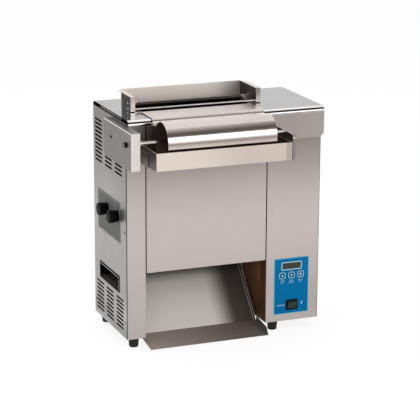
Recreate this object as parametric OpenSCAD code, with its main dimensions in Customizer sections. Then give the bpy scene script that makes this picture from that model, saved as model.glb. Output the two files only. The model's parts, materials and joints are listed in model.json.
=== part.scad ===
// Vertical contact bun toaster with a butter roller, built as separate sheet, drive and control pieces.
// Cabinet frame while drawing: X to the right, Y to the back from the front face, Z up from the cabinet's underside.

/* [Cabinet] */
// Width of the cabinet across the side panels
body_w = 578; // [560:1:620]
// Depth of the cabinet from the front face to the rear cover
body_d = 281; // [276:1:310]
// Height of the side panels
body_h = 612; // [600:1:640]
// Thickness of the cabinet sheet
sheet = 1.2; // [0.8:0.1:1.6]
// Thickness of the two inner walls that carry the shafts
wall_t = 2; // [1.5:0.1:3]
// Width of the left front column
left_col_w = 54.5; // [50:0.5:60]
// Width of the right front column
right_col_w = 161.3; // [150:0.5:170]
// Gap on each side of the front panel
panel_gap = 3.2; // [2:0.1:5]
// Height of the front panel's lower edge
panel_sill = 187.5; // [185:0.5:200]
// Depth of the fold behind each front column
column_return = 40; // [25:1:44]
// Height of the folded edge around the base pan
pan_edge = 18; // [10:1:30]
// Depth of the cut in the base pan for the chute
pan_cut = 81; // [80:1:100]
// Height of the feet
foot_h = 26; // [20:1:40]
// Radius of a foot at its top
foot_r = 15; // [12:0.5:18]

/* [Top cover] */
// Rise of the cover's top above the side panels
cover_rise = 11.6; // [8:0.1:16]
// Reach of the rolled front edge in front of the cabinet
cover_overhang = 20; // [16:0.5:26]
// Outer radius of the rolled edges
roll_r = 12; // [8:0.5:14]
// Straight lip below the roll
lip_drop = 3; // [2:0.5:6]
// Height of the apron below the lip on the right
apron_h = 72; // [50:1:90]
// Cut across the apron's lower right corner
apron_cut = 11; // [5:0.5:16]

/* [Bun feeder] */
// Distance of the front rod behind the front face
throat_front = 86; // [80:0.5:92]
// Distance of the feeder's back wall behind the front face
throat_back = 200; // [196:0.5:206]
// Height of the feeder walls above the cover
feeder_h = 43; // [30:0.5:60]
// Width of the folded end walls
end_wall_w = 13; // [10:0.5:16]
// Cut across the rear outer corner of each end wall
end_wall_cut = 17; // [10:0.5:20]
// Length of the end wall's outer face
end_face_len = 74; // [60:1:90]
// Clearance between the lanes and each inner wall
lane_margin = 21.6; // [20:0.1:30]
// Radius of the front rod
rod_r = 2.5; // [2:0.25:4]
// Height of the front rod's axis above the cover
rod_rise = 7; // [5:0.5:12]
// Radius of the lane divider bar
divider_r = 5; // [4:0.25:7]
// Height of the lane divider's axis above the cover
divider_rise = 9; // [7:0.5:14]
// Lap of the landing plate beyond the lanes on each side
landing_lap = 4; // [2:0.5:8]
// Height of the landing plate's top above the cover
landing_rise = 3.2; // [2.4:0.1:5]
// Width of the folded hem under the landing plate's side edges
landing_hem = 10; // [6:0.5:16]

/* [Butter roller] */
// Outer radius of the roller tube
roller_r = 54; // [48:0.5:56]
// Length by which the roller tube is shorter than the lanes
roller_short = 5; // [0:0.5:20]
// Wall of the roller tube
roller_wall = 1.5; // [1:0.1:3]
// Distance of the roller behind the plane of the cover's front edge
roller_gap = 4; // [3:0.5:8]
// Height of the roller's top above the cover
roller_proud = 4.4; // [2:0.1:8]
// Distance of the inner webs from the roller's ends
web_inset = 60; // [40:1:90]
// Radius of the roller shaft
shaft_r = 5; // [4:0.25:6]
// Shift of the roller and tray to the left of the lanes' middle
trough_shift = 4; // [0:0.5:8]
// Lap of the butter tray beyond the cabinet's opening on each side
tray_lap = 14.9; // [12:0.1:17]
// Height of the butter tray
tray_h = 48.5; // [40:0.5:56]
// Gap between the roller and the tray's front wall
tray_gap = 6.8; // [5:0.1:10]
// Gap between the tray's back wall and the front panel
tray_back_gap = 3; // [2:0.5:6]
// Depth of the tray's underside below the top of the side panels
tray_drop = 103; // [98:0.5:107]

/* [Roller drive box] */
// Depth of the drive box on the left side panel
box_depth = 26; // [22:0.5:32]
// Reach of the drive box in front of the cabinet
box_front = 114; // [110:1:118]
// Reach of the drive box behind the front face
box_back = 110; // [105:1:120]
// Height of the drive box
box_h = 102; // [96:1:108]
// Drop of the drive box's top below the top of the side panels
box_drop = 2; // [1:0.5:4]
// Teeth of the sprocket on the roller shaft
roller_teeth = 24; // [20:1:26]
// Teeth of the sprocket on the drive shaft
drive_teeth = 18; // [14:1:20]
// Pitch of the roller chain
chain_pitch = 6.35; // [6:0.05:6.5]

/* [Conveyors] */
// Thickness of the heated platen
platen_t = 30; // [24:0.5:32]
// Drop of the platen's lower edge below the lower drums
platen_drop = 20; // [10:0.5:24]
// Radius of a conveyor drum
drum_r = 20; // [18:0.5:21]
// Thickness of a conveyor belt
belt_t = 2; // [1.5:0.1:3]
// Gap between the front belt and the platen
front_lane = 29.7; // [26:0.1:32]
// Drop of the drive shafts below the top of the side panels
drive_drop = 52; // [48:0.5:60]
// Rise of the lower drums above the front panel's edge
idler_rise = 47.5; // [45:0.5:60]
// Radius of the drive shafts
drive_r = 8; // [6:0.25:9]
// Module of the drive gears
gear_m = 2; // [1.9:0.05:2]
// Teeth of each drive gear
gear_teeth = 22; // [20:2:22]
// Rise of each compression cam
cam_rise = 8; // [4:0.5:9]

/* [Side panel] */
// Length of a vent slot
vent_len = 59; // [50:1:62]
// Height of a vent slot
vent_h = 6; // [3:0.5:7]
// Pitch between vent slots
vent_pitch = 11.6; // [10:0.1:12]
// Distance of the last vent column from the back
vent_end = 20; // [16:1:26]
// Height of the compression knobs
knob_z = 338; // [330:1:345]
// Distance of the front knob behind the front face
front_knob_y = 73.5; // [72:0.5:75]
// Distance of the rear knob behind the front face
rear_knob_y = 162; // [160:0.5:164]
// Radius of a knob
knob_r = 18; // [14:0.5:20]
// Length of a knob
knob_len = 27; // [20:0.5:28]
// Length of a handle recess
grip_len = 161; // [140:1:165]
// Height of a handle recess
grip_h = 40; // [32:0.5:44]
// Depth of a handle recess
grip_depth = 32; // [25:0.5:40]
// Height of the handle recess's middle
grip_z = 142; // [135:1:150]

/* [Control panel] */
// Width of the printed overlay
overlay_w = 107; // [100:0.5:112]
// Height of the printed overlay
overlay_h = 165.5; // [155:0.5:170]
// Height of the overlay's lower edge
overlay_z = 20.5; // [16:0.5:26]
// Distance of the overlay from the column's right edge
overlay_margin = 29.5; // [24:0.5:32]
// Size of a key
key_size = 20; // [16:0.5:22]
// Pitch between keys
key_pitch = 28.5; // [26:0.5:30]
// Height of the keys
key_z = 135; // [130:0.5:138]
// Width of the display window
display_w = 63; // [55:0.5:70]
// Height of the display window
display_h = 24; // [18:0.5:26]
// Height of the display's middle
display_z = 162.5; // [160:0.5:164]
// Width of the power switch
rocker_w = 35.5; // [32:0.5:40]
// Height of the power switch's middle
rocker_z = 46.5; // [42:0.5:52]

/* [Chute] */
// Angle of the chute floor
chute_angle = 48; // [44:0.5:49]
// Distance of the chute's bend behind the front face
chute_bend = 58; // [54:0.5:60]
// Reach of the chute lip in front of the cabinet
chute_reach = 37; // [30:0.5:60]
// Height of the lip's front edge above the counter
lip_clear = 2; // [1:0.5:5]
// Clearance beside the chute on the left
chute_side = 1.5; // [1:0.1:3]
// Clearance beside the chute on the right
chute_side_right = 6.5; // [2:0.5:8]

/* [Hidden] */
$fn = 64;

// Clearances that the pieces share
run_gap = 0.05;
seat_gap = 0.3;
key_gap = 0.35;
through = 1;

// Cabinet planes
x_l = -body_w / 2;
x_r = body_w / 2;
in_l = x_l + left_col_w;
in_r = x_r - right_col_w;
pan_t = 1.5;
panel_fold = 13;
cover_z = body_h + cover_rise;
lane_mid = (in_l + in_r) / 2;
lane_l = in_l + lane_margin;
lane_r = in_r - lane_margin;
lane_w = lane_r - lane_l;
roll_y = roll_r - cover_overhang;
roll_back_y = body_d - cover_rise;
flange_start = 45;
landing_rear = throat_front - 18;
flange_end = body_d - 55;
side_fold = 14;
roll_z = cover_z - roll_r;
lip_z = roll_z - lip_drop;

// Roller and tray
trough_mid = lane_mid - trough_shift;
roller_len = lane_w - roller_short;
tray_w = in_r - in_l + 2 * tray_lap;
tray_z = body_h - tray_drop;
roller_y = -cover_overhang - roller_gap - roller_r;
roller_z = cover_z + roller_proud - roller_r;
roller_l = trough_mid - lane_w / 2 + 0.5;
tray_l = trough_mid - tray_w / 2;
tray_r = trough_mid + tray_w / 2;
tray_y0 = roller_y - roller_r - tray_gap - sheet;
bracket_t = 2;
bracket_x = tray_r + 3.2;
shaft_end = bracket_x + bracket_t + 3;
bracket_top = roller_z + 4;
bracket_fold = 8;
ledge_w = 22;
tray_bracket_x = tray_l - 1 - bracket_t;
tray_bracket_len = 80;

// Drive box
box_x = x_l - box_depth;
box_top = body_h - box_drop;
box_bottom = box_top - box_h;
sprocket_x = x_l - box_depth / 2 - 2;
sprocket_t = 4;
roller_pitch_r = chain_pitch / 2 / sin(180 / roller_teeth);
drive_pitch_r = chain_pitch / 2 / sin(180 / drive_teeth);
chain_in = 1.6;
chain_out = 2.6;
bush_r = 4;
bush_flange = 3;
block_w = 17;
block_h = 15;
hub_r = 7.2;
hub_out = 8;
keyhole_y = 50.5;
keyhole_z = roller_z - 5.4;

// Conveyors
gear_r = gear_m * gear_teeth / 2;
drive_z = body_h - drive_drop;
idler_z = panel_sill + idler_rise;
belt_in = drum_r + seat_gap;
belt_out = belt_in + belt_t;
platen_y = (throat_front + throat_back) / 2 - 1;
front_y = platen_y - platen_t / 2 - front_lane - belt_out;
rear_y = front_y + 6 * gear_r;
frame_gap = 6.5;
frame_t = 2.5;
frame_l = in_l + frame_gap;
frame_r = in_r - frame_gap;
frame_half = 18;
idler_r = 6;
drum_gap = 1.5;
belt_side = 5;
platen_top = 23.6;
platen_z = idler_z - platen_drop;
platen_h = cover_z - platen_top - platen_z;
gear_x = in_r + wall_t + 4;
gear_t = 10;
cam_min = 10;
cam_turn = 270;
cam_dwell = 25;
cam_pin = 4;
cam_t = 4;
cam_x = in_l + 1;
spindle_r = 4;

// Knobs and controls
plate_t = 1;
knob_margin_y = 18.5;
plate_len = rear_knob_y - front_knob_y + 2 * knob_margin_y + 62;
knob_base_x = x_l - plate_t - 0.4;
overlay_t = 0.6;
overlay_x = x_r - overlay_margin - overlay_w / 2;
rocker_h = 30;
rocker_x = overlay_x + 2;
rocker_front = -overlay_t - 2;
rocker_pivot = rocker_front + 6;
rocker_r = 12.4;
board_y = 14;

// Chute
chute_sheet = 1.2;
chute_l = in_l + chute_side;
chute_r = in_r - chute_side_right;
chute_top_y = throat_back - 5;
lip_front_z = lip_clear - foot_h + chute_sheet;
bend_z = lip_front_z + 15;
rest_r = 5;
rest_low = 12;
rest_high = 92;

// Fan on the rear cover
fan_half = 60;
fan_r = 56;
fan_depth = 25;
fan_z = 330;
fan_x = x_r - right_col_w / 2;
gland_z = 60;
gland_r = 5;
gland_body = 9;
gland_hex = 5;
gland_nose = 7;
gland_reach = gland_hex + gland_nose;
bezel_t = 1;

// Place of the cabinet frame in the part's own frame: the underside of the feet, in the middle of the outline
outline_y0 = tray_y0;
outline_y1 = body_d + gland_reach;
outline_x0 = box_x - hub_out;
outline_x1 = x_r + bezel_t;
module place() {
    translate([-(outline_x0 + outline_x1) / 2, -(outline_y0 + outline_y1) / 2, foot_h]) children();
}

// Block between two values on each axis
module span(x, y, z) {
    translate([x[0], y[0], z[0]]) cube([x[1] - x[0], y[1] - y[0], z[1] - z[0]]);
}

// Outline in the Y-Z plane, drawn out along X
module along_x(x0, x1) {
    translate([x0, 0, 0]) rotate([90, 0, 90]) linear_extrude(x1 - x0) children();
}

// Outline in the X-Z plane, drawn out along Y
module along_y(y0, y1) {
    translate([0, y1, 0]) rotate([90, 0, 0]) linear_extrude(y1 - y0) children();
}

// Round bar along X
module bar_x(x0, x1, y, z, r) {
    along_x(x0, x1) translate([y, z]) circle(r);
}

// Round bar along Y
module bar_y(y0, y1, x, z, r) {
    along_y(y0, y1) translate([x, z]) circle(r);
}

// Rectangle with round corners, centred
module round_rect(w, h, r) {
    square([w - 2 * r, h], center = true);
    square([w, h - 2 * r], center = true);
    for (sx = [-1, 1], sy = [-1, 1]) translate([sx * (w / 2 - r), sy * (h / 2 - r)]) circle(r);
}

function polar(r, a) = [r * cos(a), r * sin(a)];

// Area inside a belt that runs round two wheels
module loop_area(a, ra, b, rb) {
    d = norm(b - a);
    axis = atan2(b[1] - a[1], b[0] - a[0]);
    lean = acos((ra - rb) / d);
    translate(a) circle(ra);
    translate(b) circle(rb);
    polygon([
        a + polar(ra, axis + lean), b + polar(rb, axis + lean),
        b + polar(rb, axis - lean), a + polar(ra, axis - lean)
    ]);
}

// Flat belt on two equal drums, one above the other
module belt_band(y, z0, z1, r_in, r_out) {
    for (s = [-1, 1]) translate([y + s * (r_in + r_out) / 2, (z0 + z1) / 2])
        square([r_out - r_in, z1 - z0], center = true);
    for (m = [0, 1]) translate([y, m == 1 ? z1 : z0]) mirror([0, 1 - m]) intersection() {
        difference() {
            circle(r_out);
            circle(r_in);
        }
        translate([-2 * r_out, 0]) square([4 * r_out, 2 * r_out]);
    }
}

// Corners of a chain that bends link by link round two sprockets, off the pitch line by the given amount
function chain_points(a, ra, na, b, rb, nb, off) =
    let (
        axis = atan2(b[1] - a[1], b[0] - a[0]),
        lean = acos((ra - rb) / norm(b - a)),
        links_a = round(na * (360 - 2 * lean) / 360),
        links_b = round(nb * 2 * lean / 360)
    )
    concat(
        [for (k = [0:links_a]) a + polar(ra + off, axis + lean + (360 - 2 * lean) * k / links_a)],
        [for (k = [0:links_b]) b + polar(rb + off, axis - lean + 2 * lean * k / links_b)]
    );

// Involute gear outline with a little backlash
module gear_area(teeth, m, turn) {
    pitch_r = m * teeth / 2;
    base_r = pitch_r * cos(20);
    tip_r = pitch_r + m;
    root_r = pitch_r - 1.25 * m;
    backlash = 0.25;
    involute = (tan(20) - 20 * PI / 180) * 180 / PI;
    half = 90 / teeth - backlash + involute;
    tip_roll = sqrt(pow(tip_r / base_r, 2) - 1);
    steps = 4;
    rolls = [for (k = [0:steps]) tip_roll * k / steps];
    function flank_r(a) = base_r * sqrt(1 + a * a);
    function flank_angle(a) = a * 180 / PI - atan(a);
    polygon([
        for (i = [0:teeth - 1]) let (mid = turn + i * 360 / teeth) each concat(
            [polar(root_r, mid - half)],
            [for (a = rolls) polar(flank_r(a), mid - half + flank_angle(a))],
            [for (k = [steps:-1:0]) polar(flank_r(rolls[k]), mid + half - flank_angle(rolls[k]))],
            [polar(root_r, mid + half)]
        )
    ]);
}

// Chain sprocket outline with pointed teeth that stay inside the chain
module sprocket_area(teeth, pitch_r) {
    tip_r = (pitch_r - chain_in) * cos(180 / teeth) - seat_gap;
    root_r = tip_r - 2;
    polygon([
        for (i = [0:teeth - 1], k = [0:3])
            polar(k == 0 || k == 3 ? root_r : tip_r, (i + [0.1, 0.38, 0.62, 0.9][k]) * 360 / teeth)
    ]);
}

// Rows of vent slots in a side panel, as one cutter
module vents(x0, x1, y0, z0, columns, rows) {
    for (c = [0:columns - 1], r = [0:rows - 1])
        translate([0, y0 + c * vent_column, z0 + r * vent_pitch]) span([x0, x1], [0, vent_len], [0, vent_h]);
}

upper_vent_y = 37;
upper_vent_drop = 155;
upper_vent_z = body_h - upper_vent_drop;
lower_vent_y = 32;
vent_column = (body_d - lower_vent_y - vent_end - vent_len) / 2;
lower_vent_z = 18.5;
grip_y = body_d / 2 + 9;
side_hole = 0.8;

// Cabinet

module base_pan() {
    color([0.62, 0.62, 0.61]) difference() {
        union() {
            span([x_l + sheet, x_r - sheet], [sheet, body_d - sheet], [0, pan_t]);
            span([x_l + sheet, x_l + 2 * sheet], [sheet, body_d - sheet], [0, pan_edge]);
            span([x_r - 2 * sheet, x_r - sheet], [sheet, body_d - sheet], [0, pan_edge]);
            span([x_l + sheet, x_r - sheet], [body_d - 2 * sheet, body_d - sheet], [0, pan_edge]);
        }
        span([in_l, in_r], [0, pan_cut], [-through, pan_edge + through]);
        // Grommet notch for the cord gland
        span([gland_x() - 14, gland_x() + 14], [body_d - 2 * sheet - through, body_d], [pan_t, pan_edge + through]);
    }
}

function gland_x() = x_r - right_col_w / 2;

module left_side_panel() {
    color([0.72, 0.72, 0.71]) difference() {
        union() {
            span([x_l, x_l + sheet], [0, body_d], [0, body_h]);
            span([x_l, x_l + side_fold], [sheet, body_d - sheet], [body_h - sheet, body_h]);
        }
        vents(x_l - through, x_l + sheet + through, upper_vent_y + 2 * vent_column, upper_vent_z, 1, 11);
        vents(x_l - through, x_l + sheet + through, upper_vent_y, upper_vent_z, 2, 3);
        vents(x_l - through, x_l + sheet + through, lower_vent_y, lower_vent_z, 3, 8);
        span([x_l - through, x_l + sheet + through], [grip_y - grip_len / 2, grip_y + grip_len / 2],
             [grip_z - grip_h / 2, grip_z + grip_h / 2]);
        for (y = [front_knob_y, rear_knob_y])
            bar_x(x_l - through, x_l + sheet + through, y, knob_z, spindle_r + side_hole);
        bar_x(x_l - through, x_l + sheet + through, front_y, drive_z, drive_r + side_hole);
    }
}

module right_side_panel() {
    color([0.72, 0.72, 0.71]) difference() {
        union() {
            span([x_r - sheet, x_r], [0, body_d], [0, body_h]);
            span([x_r - side_fold, x_r], [sheet, body_d - sheet], [body_h - sheet, body_h]);
        }
        vents(x_r - sheet - through, x_r + through, lower_vent_y, lower_vent_z, 3, 8);
        vents(x_r - sheet - through, x_r + through, upper_vent_y, upper_vent_z, 3, 3);
        span([x_r - sheet - through, x_r + through], [grip_y - grip_len / 2, grip_y + grip_len / 2],
             [grip_z - grip_h / 2, grip_z + grip_h / 2]);
    }
}

module left_front_column() {
    color([0.75, 0.75, 0.74]) {
        span([x_l + sheet, in_l], [0, sheet], [0, body_h]);
        span([in_l - sheet, in_l], [0, column_return], [pan_t, body_h]);
    }
}

module right_front_column() {
    color([0.75, 0.75, 0.74]) difference() {
        union() {
            span([in_r, x_r - sheet], [0, sheet], [0, body_h]);
            span([in_r, in_r + sheet], [0, column_return], [pan_t, body_h]);
        }
        along_y(-through, sheet + through) {
            translate([overlay_x, display_z]) square([display_w - 4, display_h - 4], center = true);
            for (i = [-1:1]) translate([overlay_x + i * key_pitch, key_z])
                round_rect(key_size + 2 * key_gap, key_size + 2 * key_gap, 5);
            translate([rocker_x, rocker_z]) square([rocker_w - 3.4, rocker_h - 1.8], center = true);
        }
    }
}

// The front panel hangs between the columns on stepped side folds
module front_panel() {
    fold = panel_fold;
    l = in_l + panel_gap;
    r = in_r - panel_gap;
    color([0.76, 0.76, 0.75]) {
        span([l, r], [0, sheet], [panel_sill, body_h]);
        span([l, r], [0, fold], [panel_sill, panel_sill + sheet]);
        span([l, l + sheet], [0, fold], [panel_sill, body_h]);
        span([r - sheet, r], [0, fold], [panel_sill, body_h]);
        span([in_l, l + sheet], [fold - sheet, fold], [panel_sill, body_h]);
        span([r - sheet, in_r], [fold - sheet, fold], [panel_sill, body_h]);
    }
}

module rear_cover() {
    slots = 9;
    rear_vent_rise = 85;
    color([0.66, 0.66, 0.65]) difference() {
        span([x_l + sheet, x_r - sheet], [body_d - sheet, body_d], [0, body_h]);
        // Fan grille: slots that get shorter towards the top and bottom of the fan's circle
        for (i = [0:slots - 1]) {
            z = (i - (slots - 1) / 2) * vent_pitch;
            half = sqrt(pow(fan_r - 3, 2) - z * z);
            translate([fan_x, 0, fan_z + z])
                span([-half, half], [body_d - sheet - through, body_d + through], [-vent_h / 2, vent_h / 2]);
        }
        for (c = [-1.5:1.5], r = [0:4])
            translate([lane_mid + c * vent_column - vent_len / 2, 0, lower_vent_z + rear_vent_rise + r * vent_pitch])
                span([0, vent_len], [body_d - sheet - through, body_d + through], [0, vent_h]);
        bar_y(body_d - sheet - through, body_d + through, gland_x(), gland_z, gland_body + run_gap);
    }
}

module left_inner_wall() {
    color([0.6, 0.6, 0.6]) difference() {
        span([in_l - wall_t, in_l], [column_return, body_d - sheet], [pan_t, body_h]);
        for (y = [front_y, rear_y])
            bar_x(in_l - wall_t - through, in_l + through, y, drive_z, drive_r + bush_r + run_gap);
        for (y = [front_knob_y, rear_knob_y])
            bar_x(in_l - wall_t - through, in_l + through, y, knob_z, spindle_r + bush_r + run_gap);
        // Room for the rear fold of the base pan
        span([in_l - wall_t - through, in_l + through], [body_d - 2 * sheet, body_d], [0, pan_edge]);
    }
}

module right_inner_wall() {
    color([0.6, 0.6, 0.6]) {
        difference() {
            span([in_r, in_r + wall_t], [column_return, body_d - sheet], [pan_t, body_h]);
            for (y = [front_y, rear_y])
                bar_x(in_r - through, in_r + wall_t + through, y, drive_z, drive_r + bush_r + run_gap);
            span([in_r - through, in_r + wall_t + through], [body_d - 2 * sheet, body_d], [0, pan_edge]);
        }
        // Stud that carries the idler gear
        bar_x(in_r + wall_t, gear_x + gear_t + 3, front_y + 4 * gear_r, drive_z, idler_r);
    }
}

// Section of a rolled edge: a quarter round of radius r over the -Y side, and a straight lip below it
module roll_area(r, lip) {
    intersection() {
        difference() {
            circle(r);
            circle(r - sheet);
        }
        translate([-2 * r, 0]) square(2 * r);
    }
    if (lip > 0) translate([-r, -lip]) square([sheet, lip]);
}

module top_cover() {
    side = 3.5;
    color([0.8, 0.8, 0.8]) difference() {
        union() {
            span([x_l, x_r], [roll_y, roll_back_y], [cover_z - sheet, cover_z]);
            along_x(x_l, x_r) translate([roll_y, roll_z]) roll_area(roll_r, lip_drop);
            along_x(x_l, x_r) translate([roll_back_y, body_h]) mirror([1, 0]) roll_area(cover_rise, 0);
            // Inset side flanges that stand on the side panels' folds, left open towards the front and the back
            for (s = [-1, 1]) translate([s * (x_r - side - sheet / 2), 0, 0])
                span([-sheet / 2, sheet / 2], [flange_start, flange_end], [body_h, cover_z - sheet]);
        }
        span([lane_l, lane_r], [landing_rear - seat_gap, throat_back], [cover_z - sheet - through, cover_z + through]);
    }
}

// Deep apron at the right, level with the cover's front lip
module right_apron() {
    l = bracket_x + bracket_t;
    top = lip_z;
    bottom = lip_z - apron_h;
    // Tongue above the roller bracket
    reach = 32;
    color([0.74, 0.74, 0.73]) {
        along_y(-cover_overhang, -cover_overhang + sheet)
            polygon([
                [l - reach, top], [x_r, top], [x_r, bottom + apron_cut], [x_r - apron_cut, bottom], [l, bottom],
                [l, bracket_top + 2], [l - reach, bracket_top + 2]
            ]);
        span([x_r - sheet, x_r], [-cover_overhang, 0], [bottom + apron_cut, top]);
        span([l, l + sheet], [-cover_overhang, 0], [bottom, top]);
        span([l - reach, x_r], [-cover_overhang, 0], [top - sheet, top]);
    }
}

// Bun feeder

// Landing plate: hemmed edges on the cover, front edge rolled over the cover's roll, rear edge turned into the throat
module landing_plate() {
    l = trough_mid - lane_w / 2 - landing_lap;
    r = trough_mid + lane_w / 2 + landing_lap;
    top = cover_z + landing_rise;
    front_roll = roll_r + landing_rise;
    rear = landing_rear;
    color([0.82, 0.82, 0.82]) {
        span([l, r], [roll_y, rear], [top - sheet, top]);
        for (x = [l, r - landing_hem]) span([x, x + landing_hem], [roll_y, rear - 4], [cover_z, top]);
        along_x(l, r) translate([roll_y, roll_z]) roll_area(front_roll, lip_drop + 2.5);
        span([lane_l + 2, lane_r - 2], [rear, rear + sheet], [cover_z - 14, top]);
    }
}

feeder_l = in_l + 1.5;
feeder_r = in_r - 1.5;
feeder_top = cover_z + feeder_h;
feeder_y0 = throat_front - 2;
wall_foot = 12;
wall_hem = 4;

module feeder_back_wall() {
    color([0.74, 0.74, 0.73]) {
        span([feeder_l, feeder_r], [throat_back, throat_back + sheet], [cover_z, feeder_top]);
        span([feeder_l, feeder_r], [throat_back, throat_back + wall_foot], [cover_z, cover_z + sheet]);
        span([feeder_l, feeder_r], [throat_back, throat_back + wall_hem], [feeder_top - sheet, feeder_top]);
    }
}

// End wall for the left side: inner face, top strip, outer face, front fold and the guide with a tongue before the divider
module end_wall() {
    w = end_wall_w;
    guide_top = 26;
    guide_foot = 13;
    guide_z = 15;
    guide_tongue = 4;
    along_x(-sheet, 0)
        polygon([[feeder_y0, cover_z], [throat_back, cover_z], [throat_back, feeder_top], [feeder_y0, feeder_top]]);
    translate([0, 0, feeder_top - sheet]) linear_extrude(sheet)
        polygon([[0, feeder_y0], [0, throat_back], [-w, throat_back - end_wall_cut], [-w, feeder_y0]]);
    span([-w, -w + sheet], [feeder_y0, feeder_y0 + end_face_len], [cover_z, feeder_top]);
    span([-w, 0], [feeder_y0, feeder_y0 + sheet], [cover_z, feeder_top]);
    along_y(platen_y - divider_r - 1 - sheet, platen_y - divider_r - 1) translate([0, cover_z + 2])
        polygon([
            [0, 0], [guide_foot, 0], [guide_top, guide_z], [guide_tongue, guide_z],
            [guide_tongue, guide_z + 6], [0, guide_z + 6]
        ]);
}

module feeder_left_wall() {
    color([0.78, 0.78, 0.77]) translate([feeder_l, 0, 0]) end_wall();
}

module feeder_right_wall() {
    color([0.78, 0.78, 0.77]) translate([feeder_r, 0, 0]) mirror([1, 0, 0]) end_wall();
}

module feeder_front_rod() {
    color([0.8, 0.8, 0.79]) bar_x(feeder_l, feeder_r, throat_front + 2, cover_z + rod_rise, rod_r);
}

module lane_divider() {
    color([0.7, 0.7, 0.69]) bar_x(feeder_l, feeder_r, platen_y, cover_z + divider_rise, divider_r);
}

// Roller drive box

module drive_box_cover() {
    color([0.74, 0.74, 0.73]) difference() {
        span([box_x, x_l], [-box_front, box_back], [box_bottom, box_top]);
        span([box_x + sheet, x_l + through], [-box_front + sheet, box_back - sheet], [box_bottom + sheet, box_top - sheet]);
        along_x(box_x - through, box_x + 2 * sheet) translate([roller_y, roller_z])
            square([block_w + 2 * run_gap, block_h + 2 * run_gap], center = true);
        // Keyhole for hanging the cover, and a small hole beside it
        along_x(box_x - through, box_x + 2 * sheet) translate([keyhole_y, keyhole_z]) {
            circle(5);
            square([17, 5], center = true);
            translate([-2, 0]) square([4, 10]);
        }
        bar_x(box_x - through, box_x + 2 * sheet, keyhole_y - 38, keyhole_z - 6, 3);
    }
}

module drive_box_plate() {
    lap = 22;
    color([0.66, 0.66, 0.65]) difference() {
        span([x_l - sheet, x_l], [-box_front + sheet, lap], [box_bottom + sheet, box_top - sheet]);
        bar_x(x_l - sheet - through, x_l + through, roller_y, roller_z, shaft_r + bush_r + run_gap);
    }
}

module roller_chain() {
    r_at = [roller_y, roller_z];
    d_at = [front_y, drive_z];
    color([0.35, 0.35, 0.36]) along_x(sprocket_x - 0.5, sprocket_x + sprocket_t + 0.5) difference() {
        polygon(chain_points(r_at, roller_pitch_r, roller_teeth, d_at, drive_pitch_r, drive_teeth, chain_out));
        polygon(chain_points(r_at, roller_pitch_r, roller_teeth, d_at, drive_pitch_r, drive_teeth, -chain_in));
    }
}

// Flanged bush in a sheet from x0 to x1, with its flange on the side given by dir
module bush(x0, x1, dir, y, z, r) {
    flange = dir < 0 ? [x0 - bush_flange, x0] : [x1, x1 + bush_flange];
    difference() {
        union() {
            bar_x(x0, x1, y, z, r + bush_r);
            bar_x(flange[0], flange[1], y, z, r + bush_r + 2);
        }
        bar_x(x0 - 2 * bush_flange, x1 + 2 * bush_flange, y, z, r + run_gap);
    }
}

module shaft_bushes() {
    color([0.2, 0.2, 0.2]) {
        // Square block with a hub that carries the shaft's end in the box's outer face
        difference() {
            union() {
                along_x(box_x, box_x + sheet) translate([roller_y, roller_z]) square([block_w, block_h], center = true);
                bar_x(box_x - hub_out, box_x + sheet, roller_y, roller_z, hub_r);
            }
            bar_x(box_x - hub_out - through, box_x + sheet + through, roller_y, roller_z, shaft_r + run_gap);
        }
        difference() {
            along_x(box_x + sheet, box_x + sheet + bush_flange) translate([roller_y, roller_z])
                square([block_w + 5, block_h + 5], center = true);
            bar_x(box_x, box_x + 2 * bush_flange, roller_y, roller_z, shaft_r + run_gap);
        }
        bush(x_l - sheet, x_l, 1, roller_y, roller_z, shaft_r);
        for (y = [front_y, rear_y]) {
            bush(in_l - wall_t, in_l, -1, y, drive_z, drive_r);
            bush(in_r, in_r + wall_t, -1, y, drive_z, drive_r);
        }
        for (y = [front_knob_y, rear_knob_y]) bush(in_l - wall_t, in_l, -1, y, knob_z, spindle_r);
    }
}

// Butter roller

module roller_tube() {
    color([0.85, 0.85, 0.85]) along_x(roller_l, roller_l + roller_len) translate([roller_y, roller_z]) difference() {
        circle(roller_r);
        circle(roller_r - roller_wall);
    }
}

// Shaft with a drive collar, two webs inside the tube and the chain sprocket
module roller_shaft() {
    web_t = 3;
    color([0.7, 0.7, 0.7]) translate([0, roller_y, roller_z]) {
        difference() {
            bar_x(box_x - hub_out + 0.5, shaft_end, 0, 0, shaft_r);
            // Screwdriver slot in the end seen in the hub
            span([box_x - hub_out, box_x - hub_out + 2.5], [-0.9, 0.9], [-shaft_r - through, shaft_r + through]);
        }
        bar_x(x_l + bush_flange + 0.5, x_l + bush_flange + 14, 0, 0, shaft_r + 1.6);
        for (x = [roller_l + web_inset, roller_l + roller_len - web_inset - web_t])
            bar_x(x, x + web_t, 0, 0, roller_r - roller_wall - run_gap);
        along_x(sprocket_x, sprocket_x + sprocket_t) sprocket_area(roller_teeth, roller_pitch_r);
        bar_x(sprocket_x, sprocket_x + sprocket_t + 4, 0, 0, shaft_r + 4);
    }
}

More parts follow.
